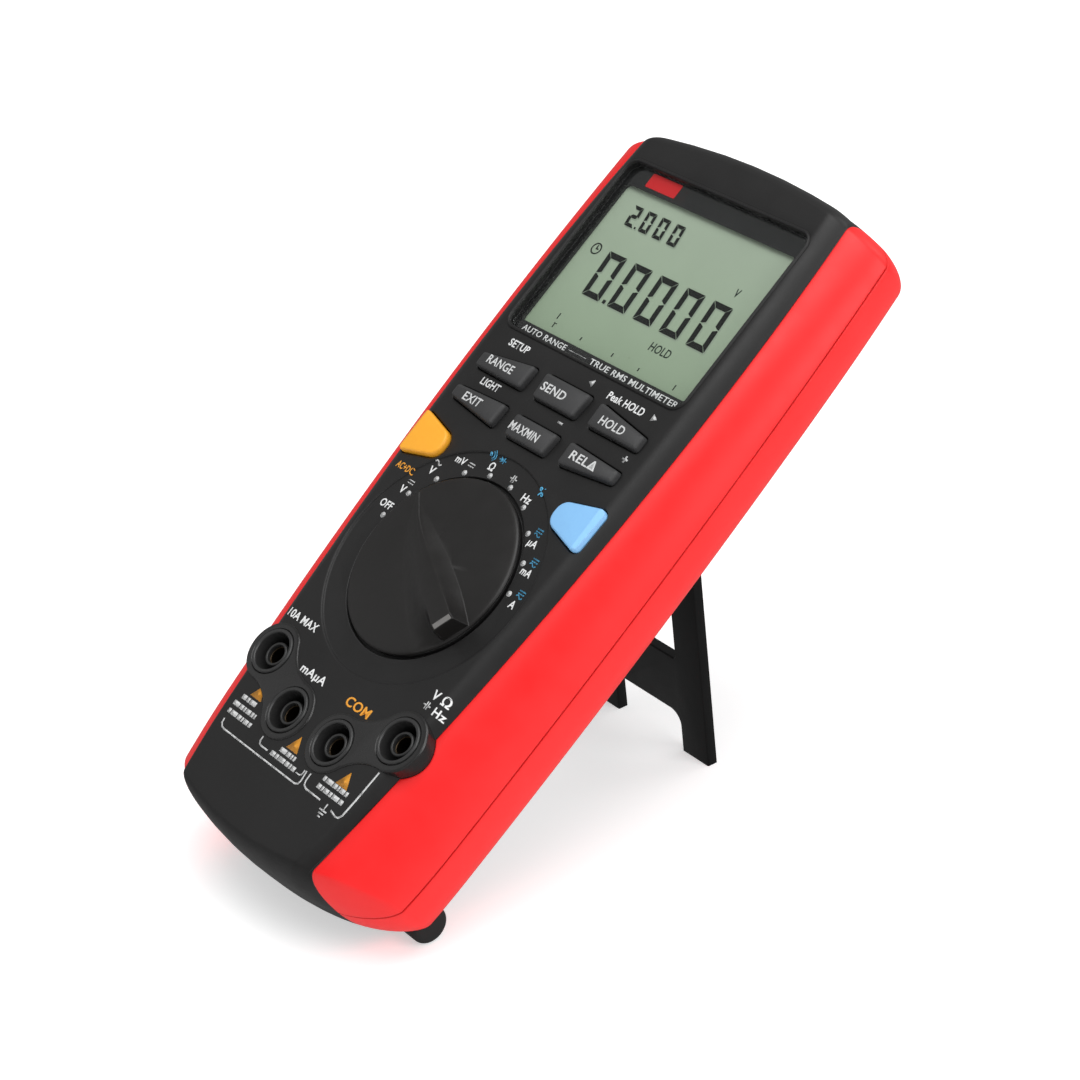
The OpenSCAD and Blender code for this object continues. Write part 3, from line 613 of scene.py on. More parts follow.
# ---------------------------------------------------------------- places on the case
GRIP_DEPTH = 2.0
KEY_CORNER = 0.8
UPPER_KEY = [(11.3, 110.3), (27.0, 110.4), (27.0, 114.0), (11.0, 116.3)]
LOWER_KEY = [(11.3, 100.4), (27.2, 102.2), (27.2, 105.3), (11.0, 106.1)]
THUMB = [(19.2, 94.6), (19.2, 89.2), (30.3, 86.4), (30.8, 97.4)]
THUMB_RADII = [3.0, 3.0, 1.2, 1.2]


def mirrored(points):
    return [(-x, y) for x, y in points][::-1]


# name: outline, legend, legend x, y and width
KEYS = {
    "key_send": ([(-6.8, 110.2), (6.8, 110.2), (7.4, 116.4), (-7.4, 116.4)],
                 "SEND", -1.9, 113.35, 7.8),
    "key_maxmin": ([(-6.4, 100.3), (6.4, 100.3), (7.0, 105.8), (-7.0, 105.8)],
                   "MAXMIN", -1.5, 102.9, 9.4),
    "key_hold": (UPPER_KEY, "HOLD", 18.0, 112.75, 7.7),
    "key_rel": (LOWER_KEY, "RELΔ", 17.7, 103.55, 8.2),
    "key_range": (mirrored(UPPER_KEY), "RANGE", -19.9, 113.0, 8.6),
    "key_exit": (mirrored(LOWER_KEY), "EXIT", -20.1, 103.5, 5.9),
}
SOCKETS = {"amp": (-22.2, 36.4), "milliamp": (-7.5, 28.4),
           "common": (8.9, 28.4), "volt": (23.6, 36.4)}
SOCKET_BORE = 5.24
LENS_X, LENS_LOW, LENS_HIGH = 28.5, 122.3, 166.7
FOOT_X, FOOT_Y, FOOT_Z = 27.5, 11.6, -30.9      # side feet
HINGE_Y = 114.0                                 # of the tilt stand
HINGE_Z = -back_depth(HINGE_Y) + 1.75
DOOR_Y = 141


def thumb_outline(side, steps=6):
    if side > 0:
        return rounded(THUMB, THUMB_RADII, steps)
    return rounded(mirrored(THUMB), THUMB_RADII[::-1], steps)


# ---------------------------------------------------------------- case shells
def face_strip(inset):
    """Cutter as wide as the black strip between the grips."""
    ys = list(np.arange(-8, 188, 2.0))
    return prism([(face_half(y) - inset, y) for y in ys]
                 + [(-(face_half(y) - inset), y) for y in ys[::-1]], -60, 10)


def parting_block(gap, above):
    """Everything above or below the sloping parting plane, less a gap."""
    matrix = (Matrix.Translation((0, 0, -PARTING_DEPTH + (gap if above else -gap)))
              @ Matrix.Rotation(math.atan(PARTING_SLOPE), 4, "X"))
    return placed(matrix, *cube(-60, 60, -20, 200, *((0, 60) if above else (-60, 0))))


OUTER = solid(*skin(0, 0, 0, 0))
UNDER_GRIP = solid(*skin(*[GRIP_DEPTH] * 4))
GRIP_INNER = solid(*skin(*[GRIP_DEPTH - 0.03] * 4))
CAVITY = solid(*skin(4.6, 2.4, 2.8, 4.4, fine=False))


def shell(above, gap):
    """Hollow half of the case: full size along the strip, sunk under the grips."""
    body = duplicate(UNDER_GRIP)
    csg(body, "INTERSECT", parting_block(gap, above))
    strip = duplicate(OUTER)
    csg(strip, "INTERSECT", face_strip(0.1), parting_block(gap, above))
    csg(body, "UNION", strip)
    return csg(body, "DIFFERENCE", CAVITY, keep=True)


def front_shell():
    front = shell(True, 0.0)
    cuts = [flare(rounded(rect(-LENS_X - 0.1, LENS_X + 0.1, LENS_LOW - 0.1, LENS_HIGH + 0.1),
                          2.6), -1.5, 0.0, 0.25),
            prism(rounded(rect(-27.3, 27.3, 124.4, 162.2), 1.2), -8, 2)]
    for points, *_ in KEYS.values():
        cuts.append(flare(offset(rounded(points, KEY_CORNER), 0.22), -8, 0, 0.22))
    for side in (1, -1):
        cuts.append(flare(offset(thumb_outline(side), 0.3), -9, 0, 0.35))
    # dish round the dial, the groove at the knob's rim and the hub bore
    cuts.append(stacked(circle(27.3, 160, 0, DIAL_Y), [
        (-0.35, -0.5), (-0.15, -0.44), (0.0, -0.30), (0.05, -0.15), (0.25, -0.02),
        (0.45, 0.02), (0.5, 3)]))
    cuts.append(solid(*lathe([(20.55, -1.6), (21.35, -1.6), (21.4, -0.75), (21.65, -0.45),
                              (21.65, 1), (20.55, 1)], 160, 0, DIAL_Y)))
    cuts.append(prism(circle(8.2, 64, 0, DIAL_Y), -8, 3))
    for x, y in SOCKETS.values():
        cuts.append(prism(circle(SOCKET_BORE, 96, x, y), -30, 6))
    csg(front, "DIFFERENCE", *cuts)
    finish_node(front, "front_shell", CASE, "case_dark", sharp=30)


def grip(side, side_name, above):
    red = duplicate(OUTER)
    csg(red, "DIFFERENCE", GRIP_INNER, keep=True)
    csg(red, "DIFFERENCE", face_strip(0.02))
    x_range = (10, 60) if side > 0 else (-60, -10)
    csg(red, "INTERSECT", parting_block(0.14, above), solid(*cube(*x_range, -10, 190, -60, 20)))
    if above:
        x, y = SOCKETS["amp" if side < 0 else "volt"]
        csg(red, "DIFFERENCE", prism(circle(7.0, 96, x, y), -12, 6),
            flare(offset(thumb_outline(side), 0.35), -9, -1.5, 0.3))
    else:
        csg(red, "DIFFERENCE", cross_rod(4.45, 4.7, 64, side * FOOT_X, FOOT_Y, FOOT_Z))
    half = "front" if above else "rear"
    finish_node(red, f"{half}_grip_{side_name}", RED, "grip_red", sharp=34)


def rear_shell():
    rear = shell(False, 0.03)
    # thicker walls behind the stand recess and the hinge
    csg(rear, "UNION", on_back(79.5, *cube(-22.4, 22.4, -41, 41, 2.0, 5.2)),
        on_back(HINGE_Y, *cube(-25, 25, -5, 4.5, 2.0, 5.2)))
    cuts = [
        # stand recess, hinge bore and door recess
        on_back(79, *stack(rounded(rect(-20.4, 20.4, -38.5, 37), 1.5), [
            (0.45, -1.0), (0.45, 0.0), (0.1, 0.3), (0, 0.5), (0, 3.1), (-0.3, 3.4)])),
        cross_rod(1.25, 23, 32, 0, HINGE_Y, HINGE_Z),
        on_back(DOOR_Y, *stack(rounded(rect(-27, 27, -20, 20), 1.0), [
            (0.3, -2), (0.3, -0.1), (0.0, 0.25), (0, 1.7)]))]
    # four round wells near the corners
    for x, y in ((-14, 11.5), (14, 11.5), (-20, 169.8), (20, 169.8)):
        cuts.append(prism(circle(3.2, 48, x, y), -44, -back_depth(y) + 6))
    for side in (-1, 1):
        cuts.append(cross_rod(4.25, 4.6, 64, side * FOOT_X, FOOT_Y, FOOT_Z))
    # small slot above the door
    cuts.append(on_back(167.5, *stack(rounded(rect(-4, 4, -2, 2), 0.6), [
        (0.2, -2), (0.2, 0), (0, 0.25), (0, 6)])))
    # finger notch that lets a nail lift the folded stand
    cuts.append(on_back(41, *stack(rounded(rect(-7, 7, -5, 5), 3.0), [
        (0.6, -1), (0.6, 0.0), (0.2, 0.4), (-0.4, 1.6)])))
    csg(rear, "DIFFERENCE", *cuts)
    finish_node(rear, "rear_shell", REAR, "case_dark", sharp=30)


def battery_door():
    """Door with seven grip ribs and a screw hole."""
    door = on_back(DOOR_Y, *stack(rounded(rect(-26.8, 26.8, -19.8, 19.8), 0.9), [
        (-0.3, 0.0), (-0.1, 0.08), (0, 0.28), (0, 1.6)]))
    ribs = []
    for i in range(-3, 4):
        outline = rounded(rect(-9, 9, i * 2.2 - 0.5, i * 2.2 + 0.5), 0.45)
        ribs.append(on_back(136.7, *stack(outline, [
            (-0.3, -0.5), (-0.12, -0.42), (0, -0.2), (0, 0.6)])))
    csg(door, "UNION", *ribs)
    screw_y = 156
    back = -back_depth(screw_y)
    csg(door, "DIFFERENCE", prism(circle(1.3, 32, 0, screw_y), -40, -10),
        stacked(circle(2.4, 48, 0, screw_y), [
            (0.25, -40), (0.25, back - 0.2), (0, back + 0.05), (0, back + 0.7)]))
    finish_node(door, "battery_door", REAR, "case_dark", sharp=30)


def rubber_feet():
    """Two rollers at the socket end and two pads at the head end."""
    radius, half, soft = 4.2, 4.5, 1.1
    profile = [(0, -half)] + [(radius - soft + soft * math.sin(t),
                               -half + soft - soft * math.cos(t)) for t in QUARTER]
    profile += [(r, -z) for r, z in profile[::-1]]
    feet = []
    for side in (-1, 1):
        feet.append(crosswise(profile, 72, side * FOOT_X, FOOT_Y, FOOT_Z))
        feet.append(on_back(166, *stack(circle(3.0, 48, side * 11, 0), [
            (-0.5, -1.2), (-0.15, -1.05), (0, -0.7), (0, -0.03)])))
    finish_node(merged(feet), "rubber_feet", FOOT, "foot_rubber")


front_shell()
for side, side_name in ((-1, "left"), (1, "right")):
    for above in (True, False):
        grip(side, side_name, above)
rear_shell()
battery_door()
rubber_feet()


# ---------------------------------------------------------------- socket collars and sleeves
def saddle_outline(a, b, radius, waist):
    """Outline of two discs joined by a waist whose sides are arcs tangent to both."""
    a, b = np.array(a), np.array(b)
    length = float(np.linalg.norm(b - a))
    along = (b - a) / length
    across = np.array([-along[1], along[0]])
    fillet = ((length / 2) ** 2 + waist * waist - radius * radius) / (2 * (radius - waist))
    opening = math.atan2(waist + fillet, length / 2)
    outline = []
    for sign, centre, target in ((1, b, a), (-1, a, b)):
        for t in np.linspace(-(math.pi - opening), math.pi - opening, 60):
            outline.append(centre + radius * (sign * along * math.cos(t)
                                              + sign * across * math.sin(t)))
        hollow = (a + b) / 2 + sign * across * (waist + fillet)
        start = outline[-1] - hollow
        reach = hollow - target
        end = target + reach * (radius / np.linalg.norm(reach)) - hollow
        angle0 = math.atan2(start @ across, start @ along)
        angle1 = math.atan2(end @ across, end @ along)
        if angle1 - angle0 > math.pi:
            angle1 -= 2 * math.pi
        if angle0 - angle1 > math.pi:
            angle1 += 2 * math.pi
        for t in np.linspace(angle0, angle1, 24)[1:-1]:
            outline.append(hollow + fillet * (along * math.cos(t) + across * math.sin(t)))
    return np.array(outline)


parts = []
for x, y in SOCKETS.values():
    bottom = -6.8 if abs(x) > 20 else -0.9      # the outer pair stands where the face falls
    parts.append(stacked(circle(6.9, 128, x, y), [
        (0, bottom), (0, -0.25), (-0.05, 0.0), (-0.18, 0.2), (-0.4, 0.30), (-0.7, 0.33)]))
for a, b in (("amp", "milliamp"), ("common", "volt")):
    parts.append(stacked(saddle_outline(SOCKETS[a], SOCKETS[b], 6.88, 4.9), [
        (0, -0.9), (0, -0.12), (-0.05, 0.06), (-0.16, 0.2), (-0.36, 0.28), (-0.7, 0.31)]))
collar = csg(parts[0], "UNION", *parts[1:])
csg(collar, "DIFFERENCE", *[stacked(circle(SOCKET_BORE, 96, x, y), [
    (0, -30), (0, 0.05), (0.12, 0.25), (0.3, 0.36), (0.5, 3)]) for x, y in SOCKETS.values()])
finish(collar, "socket_collars", COLLAR, "case_dark", sharp=30)

# (radius, z) round the outer tube and the inner tube of a socket
SLEEVE_PROFILE = [
    (2.33, -22), (5.2, -22), (5.2, 0.3), (5.16, 0.45), (5.05, 0.56), (4.9, 0.6), (4.62, 0.6),
    (4.45, 0.55), (4.34, 0.42), (4.3, 0.25), (4.3, -20), (2.8, -20), (2.8, -1.2),
    (2.76, -1.05), (2.66, -0.93), (2.5, -0.9), (2.36, -0.9), (2.22, -0.96), (2.15, -1.1),
    (2.15, -1.95), (2.33, -1.95)]
for socket, (x, y) in SOCKETS.items():
    finish(solid(*lathe(SLEEVE_PROFILE, 96, x, y)), f"socket_sleeve_{socket}", SLEEVE,
           "sleeve_dark", replaces=f"jack_sleeve_{socket}", sharp=40)

# ---------------------------------------------------------------- display
LENS_BACK = -1.45
LCD_TOP = -2.5
lens_outline = rounded(rect(-LENS_X, LENS_X, LENS_LOW, LENS_HIGH), 2.5, 8)
finish_node(stacked(lens_outline, [
    (0, LENS_BACK), (0, -0.25), (-0.05, -0.08), (-0.18, 0.06), (-0.36, 0.1)]),
    "lcd_lens", LENS, "lens_clear")
mask = prism(offset(lens_outline, -0.02), -1.49, -1.46)
csg(mask, "DIFFERENCE", prism(rounded(rect(-27.2, 27.2, 124.7, 161.9), 0.8), -3, 1))
finish(mask, "lens_mask", MASK, "case_dark")
# raised bead round the lens
bead = stacked(offset(lens_outline, 0.95), [
    (0, -0.6), (0, -0.02), (-0.08, 0.22), (-0.26, 0.40), (-0.42, 0.45), (-0.60, 0.40),
    (-0.74, 0.24), (-0.80, 0.0)])
csg(bead, "DIFFERENCE", prism(offset(lens_outline, 0.12), -2, 2))
finish(bead, "lens_bezel", CASE, "case_dark", sharp=50)
panel = stacked(rounded(rect(-29.2, 29.2, 120.4, 165.2), 0.3), [
    (0, -4.3), (0, -2.54), (-0.04, LCD_TOP)])
finish(panel, "lcd_panel_visual", LCD, "lcd_grey", replaces="lcd_glass")

LIT_SEGMENTS = {"0": "abcdef", "2": "abged"}


def digit(char, cx, cy, width, height, t, shear):
    """Seven-segment digit as polygons; t is the thickness of a segment."""
    gap = 0.07 * t + 0.03
    w, h = width / 2, height / 2
    nib = t * 0.32
    shapes = {
        "a": [(-w + gap, h), (w - gap, h), (w - t, h - t), (-w + t, h - t)],
        "d": [(-w + gap, -h), (-w + t, -h + t), (w - t, -h + t), (w - gap, -h)],
        "f": [(-w, h - gap), (-w + t, h - t - gap), (-w + t, gap + nib), (-w + nib, gap),
              (-w, gap)],
        "b": [(w, h - gap), (w, gap), (w - nib, gap), (w - t, gap + nib),
              (w - t, h - t - gap)],
        "e": [(-w, -h + gap), (-w, -gap), (-w + nib, -gap), (-w + t, -gap - nib),
              (-w + t, -h + t + gap)],
        "c": [(w, -h + gap), (w - t, -h + t + gap), (w - t, -gap - nib), (w - nib, -gap),
              (w, -gap)],
        "g": [(-w + t * 0.5, 0), (-w + t, t / 2), (w - t, t / 2), (w - t * 0.5, 0),
              (w - t, -t / 2), (-w + t, -t / 2)],
    }
    return [[(cx + x + shear * y, cy + y) for x, y in shapes[s]] for s in LIT_SEGMENTS[char]]


def plates(polygons, z, thickness):
    """Thin flat plates from z up."""
    verts, faces = [], []
    for polygon in polygons:
        polygon = counter_clockwise(np.array(polygon, float))
        n, first = len(polygon), len(verts)
        verts += [(x, y, level) for level in (z, z + thickness) for x, y in polygon]
        for i in range(n):
            j = (i + 1) % n
            faces.append((first + i, first + j, first + n + j, first + n + i))
        faces.append(tuple(first + i for i in range(n))[::-1])
        faces.append(tuple(first + n + i for i in range(n)))
    return solid(verts, faces)


segments = []
for cx in (-15.7, -7.15, 1.45, 10.0, 18.6):
    segments += digit("0", cx, 141.35, width=5.8, height=11.2, t=1.4, shear=-0.085)
segments.append([(-11.35, 135.85), (-10.45, 135.85), (-10.5, 136.75), (-11.4, 136.75)])
for char, cx in zip("2000", (-19.9, -15.3, -10.7, -5.9)):
    segments += digit(char, cx, 156.05, width=2.9, height=5.1, t=0.85, shear=-0.16)
segments.append([(-17.75, 153.55), (-17.25, 153.55), (-17.3, 154.05), (-17.8, 154.05)])
finish(plates(segments, -2.49, 0.03), "lcd_digits", SEGMENT, "lcd_grey")
shadows = [[(x + 0.45, y - 0.35) for x, y in polygon] for polygon in segments]
finish(plates(shadows, -2.499, 0.004), "lcd_digit_shadows", SHADOW, "lcd_grey")


# ---------------------------------------------------------------- printing helpers
def face_z(x, y):
    """Height of the face, with the dish round the dial and the shoulders."""
    r = math.hypot(x, y - DIAL_Y)
    if r < 27.75:
        return -0.5 + 0.5 * min(max(r - 26.6, 0), 1)
    width = shoulder(y)
    flat_edge = face_half(y) - width
    if abs(x) <= flat_edge:
        return 0.0
    return -SHOULDER_DROP * min((abs(x) - flat_edge) / width, 1) ** SHOULDER_POWER


def text(word, cx, cy, width, cap_height, weight=0.022):
    """Centred word at z = 0, fitted to a width and a cap height."""
    curve = bpy.data.curves.new("t", "FONT")
    curve.body = word
    curve.resolution_u = 3
    curve.offset = weight
    curve.extrude = 0.02
    curve.space_character = 1.04
    obj = add_object("t", curve)
    mesh = evaluated_mesh(obj)
    bpy.data.objects.remove(obj)
    bpy.data.curves.remove(curve)
    font_cap = 0.70
    points = np.array([v.co[:] for v in mesh.vertices])
    x0, x1 = points[:, 0].min(), points[:, 0].max()
    points[:, 0] = (points[:, 0] - (x0 + x1) / 2) * width / (x1 - x0)
    points[:, 1] = (points[:, 1] - font_cap / 2) * cap_height / font_cap
    for vertex, (x, y, z) in zip(mesh.vertices, points):
        vertex.co = (cx + x, cy + y, np.sign(z) * 0.02)
    return add_object("t", mesh)


def texts(*rows):
    return [text(*row) for row in rows]


def drape(obj, height, lift=0.022):
    for vertex in obj.data.vertices:
        vertex.co.z += height(vertex.co.x, vertex.co.y) + lift
    return obj


def printed(polygons):
    return plates(polygons, -0.02, 0.04)


def stroke(corners, width):
    """Quads that follow a polyline, in short steps."""
    corners = [np.array(p, float) for p in corners]
    path = [corners[0]]
    for a, b in zip(corners, corners[1:]):
        n = max(1, int(np.linalg.norm(b - a) / 0.9))
        path += [a + (b - a) * i / n for i in range(1, n + 1)]
    left, right = [], []
    for i, point in enumerate(path):
        a = unit(path[i] - path[i - 1] if i > 0 else path[1] - path[0])
        b = unit(path[i + 1] - path[i] if i < len(path) - 1 else path[i] - path[i - 1])
        normal_in = np.array([-a[1], a[0]])
        normal = normal_in + np.array([-b[1], b[0]])
        normal /= max(np.linalg.norm(normal), 1e-9)
        mitre = max(float(normal @ normal_in), 0.45)
        left.append(point + normal * width / 2 / mitre)
        right.append(point - normal * width / 2 / mitre)
    return [[tuple(left[i]), tuple(right[i]), tuple(right[i + 1]), tuple(left[i + 1])]
            for i in range(len(path) - 1)]


def strokes(width, *lines):
    return [quad for line in lines for quad in stroke(line, width)]


def dot(radius, sides, x, y):
    return [list(map(tuple, circle(radius, sides, x, y)))]


def sine(cx, cy, w, h, n=12):
    return [(cx - w / 2 + w * i / n, cy + h / 2 * math.sin(2 * math.pi * i / n))
            for i in range(n + 1)]


def arc(cx, cy, r, a0, a1, n=10):
    angles = [math.radians(a0 + (a1 - a0) * i / n) for i in range(n + 1)]
    return [(cx + r * math.cos(a), cy + r * math.sin(a)) for a in angles]


def dc_sign(cx, cy, w, t=0.26):
    """Line over three dashes."""
    g = w / 5
    top, low = cy + 0.33, cy - 0.33
    return strokes(t, [(cx - w / 2, top), (cx + w / 2, top)],
                   [(cx - w / 2, low), (cx - w / 2 + 1.4 * g, low)],
                   [(cx - 0.7 * g, low), (cx + 0.7 * g, low)],
                   [(cx + w / 2 - 1.4 * g, low), (cx + w / 2, low)])


def capacitor_sign(cx, cy):
    return strokes(0.3, *([(cx + x, cy - 0.85), (cx + x, cy + 0.85)] for x in (-0.28, 0.28)),
                   [(cx - 1.1, cy), (cx - 0.28, cy)], [(cx + 0.28, cy), (cx + 1.1, cy)])


def diode_sign(cx, cy, s=0.9):
    arrow = [(cx - 0.6 * s, cy + 0.7 * s), (cx - 0.6 * s, cy - 0.7 * s), (cx + 0.5 * s, cy)]
    return [arrow] + strokes(
        0.28, [(cx + 0.55 * s, cy - 0.75 * s), (cx + 0.55 * s, cy + 0.75 * s)],
        [(cx - 1.2 * s, cy), (cx - 0.6 * s, cy)], [(cx + 0.6 * s, cy), (cx + 1.15 * s, cy)])


def dashes(x, x_end, y, k, thickness=1.05):
    """Plain dashes where small print stands; they spell nothing. k shifts the rhythm."""
    quads = []
    while x < x_end - 0.3:
        width = (1.5, 0.9, 2.1, 1.2, 0.6)[k % 5]
        quads += stroke([(x, y), (min(x + width, x_end), y)], thickness)
        x += width + 0.28
        k += 1
    return quads


# ---------------------------------------------------------------- printing on the face
# white: position dots and signs round the dial
white = []
for k in range(10):
    a = math.radians(171 - 18 * k)
    white.append(printed(dot(0.66, 24, 22.4 * math.cos(a), DIAL_Y + 22.4 * math.sin(a))))
white += texts(
    ("OFF", -23.3, 75.4, 4.0, 1.75), ("V", -22.2, 79.9, 1.75, 1.75),
    ("V", -18.6, 86.5, 1.75, 1.75), ("mV", -13.3, 91.45, 3.1, 1.65),
    ("Ω", -4.7, 93.5, 1.7, 1.75), ("Hz", 9.4, 91.35, 2.8, 1.75),
    ("µA", 18.7, 84.15, 2.7, 1.7), ("mA", 22.3, 78.5, 3.0, 1.7), ("A", 24.7, 71.5, 1.7, 1.75))
white.append(printed(dc_sign(-21.4, 82.0, 1.9) + stroke(sine(-18.3, 88.5, 1.9, 0.8), 0.27)
                     + dc_sign(-9.9, 91.6, 1.9) + capacitor_sign(2.7, 93.5)))
# socket names
white += texts(
    ("10A MAX", -20.9, 45.4, 10.4, 1.85), ("mAµA", -8.0, 37.4, 8.6, 1.9),
    ("V", 24.0, 48.1, 2.1, 2.0), ("Ω", 27.1, 48.1, 2.0, 2.0), ("Hz", 27.3, 45.3, 2.7, 1.8))
white.append(printed(capacitor_sign(23.6, 45.4)))
SMALL_PRINT = [    # x start, x end, y, rhythm
    (-21.2, -15.6, 25.3, 0), (-22.2, -14.0, 23.3, 2), (-22.1, -13.3, 21.3, 1),
    (-2.2, 3.2, 21.3, 2), (-3.9, 5.0, 19.6, 0), (12.9, 21.4, 21.9, 1), (12.8, 22.0, 20.0, 3)]
white.append(printed([quad for row in SMALL_PRINT for quad in dashes(*row)]))
# thin lines below the sockets
LINE = 0.36
white.append(printed(
    strokes(LINE,
            [(-21.4, 19.4), (-21.2, 18.4), (-20.4, 17.7), (-19.3, 17.55), (7.3, 17.45),
             (8.1, 17.8), (8.3, 18.6), (7.9, 20.9)],
            [(-8.6, 21.2), (-8.55, 20.3), (-8.1, 19.6), (-7.3, 19.4), (-5.0, 19.4)])
    + stroke([(5.6, 19.4), (6.8, 19.35), (7.3, 19.7), (7.4, 20.8)], LINE * 0.8)
    + strokes(LINE, [(9.3, 21.0), (9.35, 19.3), (9.8, 18.4), (10.8, 18.0), (16.0, 17.95)],
              [(20.2, 17.6), (22.3, 17.1), (23.1, 17.25), (23.6, 18.1), (24.0, 22.0),
               (24.5, 29.2)])))
# earth mark
white.append(printed(
    strokes(0.34, [(18.5, 18.2), (18.5, 16.6)], [(17.3, 16.6), (19.7, 16.6)])
    + strokes(0.32, [(17.7, 15.9), (19.3, 15.9)], [(18.1, 15.2), (18.9, 15.2)])))
# names above the keys, arrows and signs
white += texts(("SETUP", -20.4, 118.75, 6.6, 1.7), ("LIGHT", -20.1, 108.45, 6.2, 1.7),
               ("Peak HOLD", 15.8, 118.45, 11.4, 1.75))
white.append(printed(
    [[(3.1, 118.95), (4.6, 118.1), (4.6, 119.8)], [(25.6, 118.4), (24.1, 119.25), (24.1, 117.55)]]
    + stroke([(3.2, 108.35), (4.7, 108.35)], 0.5)
    + strokes(0.42, [(24.5, 108.2), (26.1, 108.2)], [(25.3, 107.4), (25.3, 109.0)])))

# amber: second functions and the triangles by the sockets
amber = texts(("AC+DC", -25.3, 84.0, 5.6, 1.55), ("COM", 8.4, 37.25, 8.0, 2.1))
for x, y in ((-17.6, 27.9), (0.7, 23.8), (18.4, 24.0)):
    amber.append(printed([[(x - 1.95, y - 1.5), (x + 1.95, y - 1.5), (x, y + 1.95)]]))

# cyan: sound and diode signs, per cent, DC over AC signs
cyan = [printed(dot(0.42, 16, -6.9, 95.75)
                + strokes(0.24, arc(-6.9, 95.75, 0.95, -55, 55), arc(-6.9, 95.75, 1.5, -50, 50))
                + diode_sign(-3.2, 95.75))]
cyan.append(text("%", 11.9, 94.1, 1.9, 1.75))
for x, y in ((18.2, 86.75), (22.4, 81.1), (24.9, 74.2)):
    cyan.append(printed(dc_sign(x, y + 0.25, 1.9, 0.3) + stroke(sine(x, y - 0.75, 1.9, 0.6), 0.24)))
for name, pieces, mat in (("print_white", white, WHITE_INK), ("print_amber", amber, AMBER_INK),
                          ("print_cyan", cyan, CYAN_INK)):
    finish(drape(merged(pieces), face_z), name, mat, "case_dark", sharp=180)

# ---------------------------------------------------------------- printing on the display
pieces = [text("AUTO RANGE", -17.6, 123.35, 14.8, 1.35, weight=0.012),
          text("TRUE RMS MULTIMETER", 12.2, 123.3, 28.4, 1.4, weight=0.012),
          printed(stroke([(-9.4, 123.3), (-3.4, 123.3)], 0.16))]
finish(drape(merged(pieces), lambda x, y: LENS_BACK), "print_lens", WHITE_INK, "lens_clear",
       sharp=180)
finish(prism(rounded(rect(-22.1, -12.4, 162.9, 166.4), 0.3), -1.452, -1.43), "lens_tab", TAB,
       "lens_clear")
# faint marks of the liquid crystal
pieces = [text("V", 19.15, 150.3, 1.3, 1.9, weight=0.02),
          text("HOLD", 11.6, 132.3, 6.4, 2.0, weight=0.01),
          printed(strokes(0.34, arc(-23.1, 146.1, 1.3, 0, 360, 20),
                          [(-23.1, 147.0), (-23.1, 146.1), (-22.4, 146.1)])
                  + strokes(0.28, [(-19.3, 128.4), (-19.3, 129.9)],
                            [(-18.9, 126.3), (-18.9, 127.4)])
                  + stroke([(-19.2, 127.4), (-18.3, 127.4)], 0.22)
                  + stroke([(-9.5, 126.5), (-9.5, 127.3)], 0.35)
                  + strokes(0.3, [(1.1, 126.4), (1.1, 127.3)], [(9.9, 126.2), (9.9, 127.0)])
                  + stroke([(21.4, 126.0), (21.4, 127.3)], 0.28))]
finish(drape(merged(pieces), lambda x, y: LCD_TOP), "lcd_marks", FAINT, "lcd_grey", sharp=180)

# ---------------------------------------------------------------- keys
KEY_TOP = 1.5


def rounding(out, depth, z, rise):
    """Levels of a rounded upper edge."""
    return [(out - depth * (1 - math.cos(t)), z + rise * math.sin(t)) for t in QUARTER[1:]]


for name, (points, legend, x, y, width) in KEYS.items():
    key = stacked(rounded(points, KEY_CORNER, 8), [
        (0.9, -3.5), (0.9, -2.5), (0.0, -2.45), (0.0, -0.3), (-0.12, 0.75)]
        + rounding(-0.12, 0.55, 0.75, 0.68) + [(-0.78, KEY_TOP)])
    finish_node(key, name, KEY_GREY, "key_grey", body=name, sharp=38)
    label = drape(text(legend, x, y, width, 1.95, weight=0.018), lambda x, y: KEY_TOP - 0.012)
    finish(label, name + "_print", KEY_INK, "key_grey", body=name, sharp=180)
# thumb keys, planed off at a slant on the outer side
for name, side, mat in (("key_amber", -1, AMBER), ("key_blue", 1, BLUE)):
    key = stacked(thumb_outline(side, 10),
                  [(0.0, -4.1), (0.0, 0.35)] + rounding(0, 0.5, 0.35, 0.8) + [(-0.75, 1.2)])
    verts, faces = cube(-6, 12, -12, 12, 0, 8)
    slant = (Matrix.Translation((side * 29.5, 92, 1.2))
             @ Matrix.Rotation(math.radians(side * 33), 4, "Y"))
    csg(key, "DIFFERENCE", placed(slant, [(side * x, y, z) for x, y, z in verts], faces))
    finish_node(key, name, mat, name, body=name, sharp=28)

# ---------------------------------------------------------------- dial knob
KNOB_R = 20.8
# (radius, z) of the disc, up its rim and then over its top
KNOB_RIM = [(0, -0.2), (KNOB_R - 0.2, -0.2), (KNOB_R, -0.12), (KNOB_R, 0.05),
            (KNOB_R - 0.08, 0.25), (KNOB_R - 0.25, 0.40)]
KNOB_TOP = [(KNOB_R - 0.55, 0.50), (KNOB_R - 1.2, 0.60), (KNOB_R - 4, 0.86), (12, 1.06),
            (6, 1.22), (0, 1.3)]
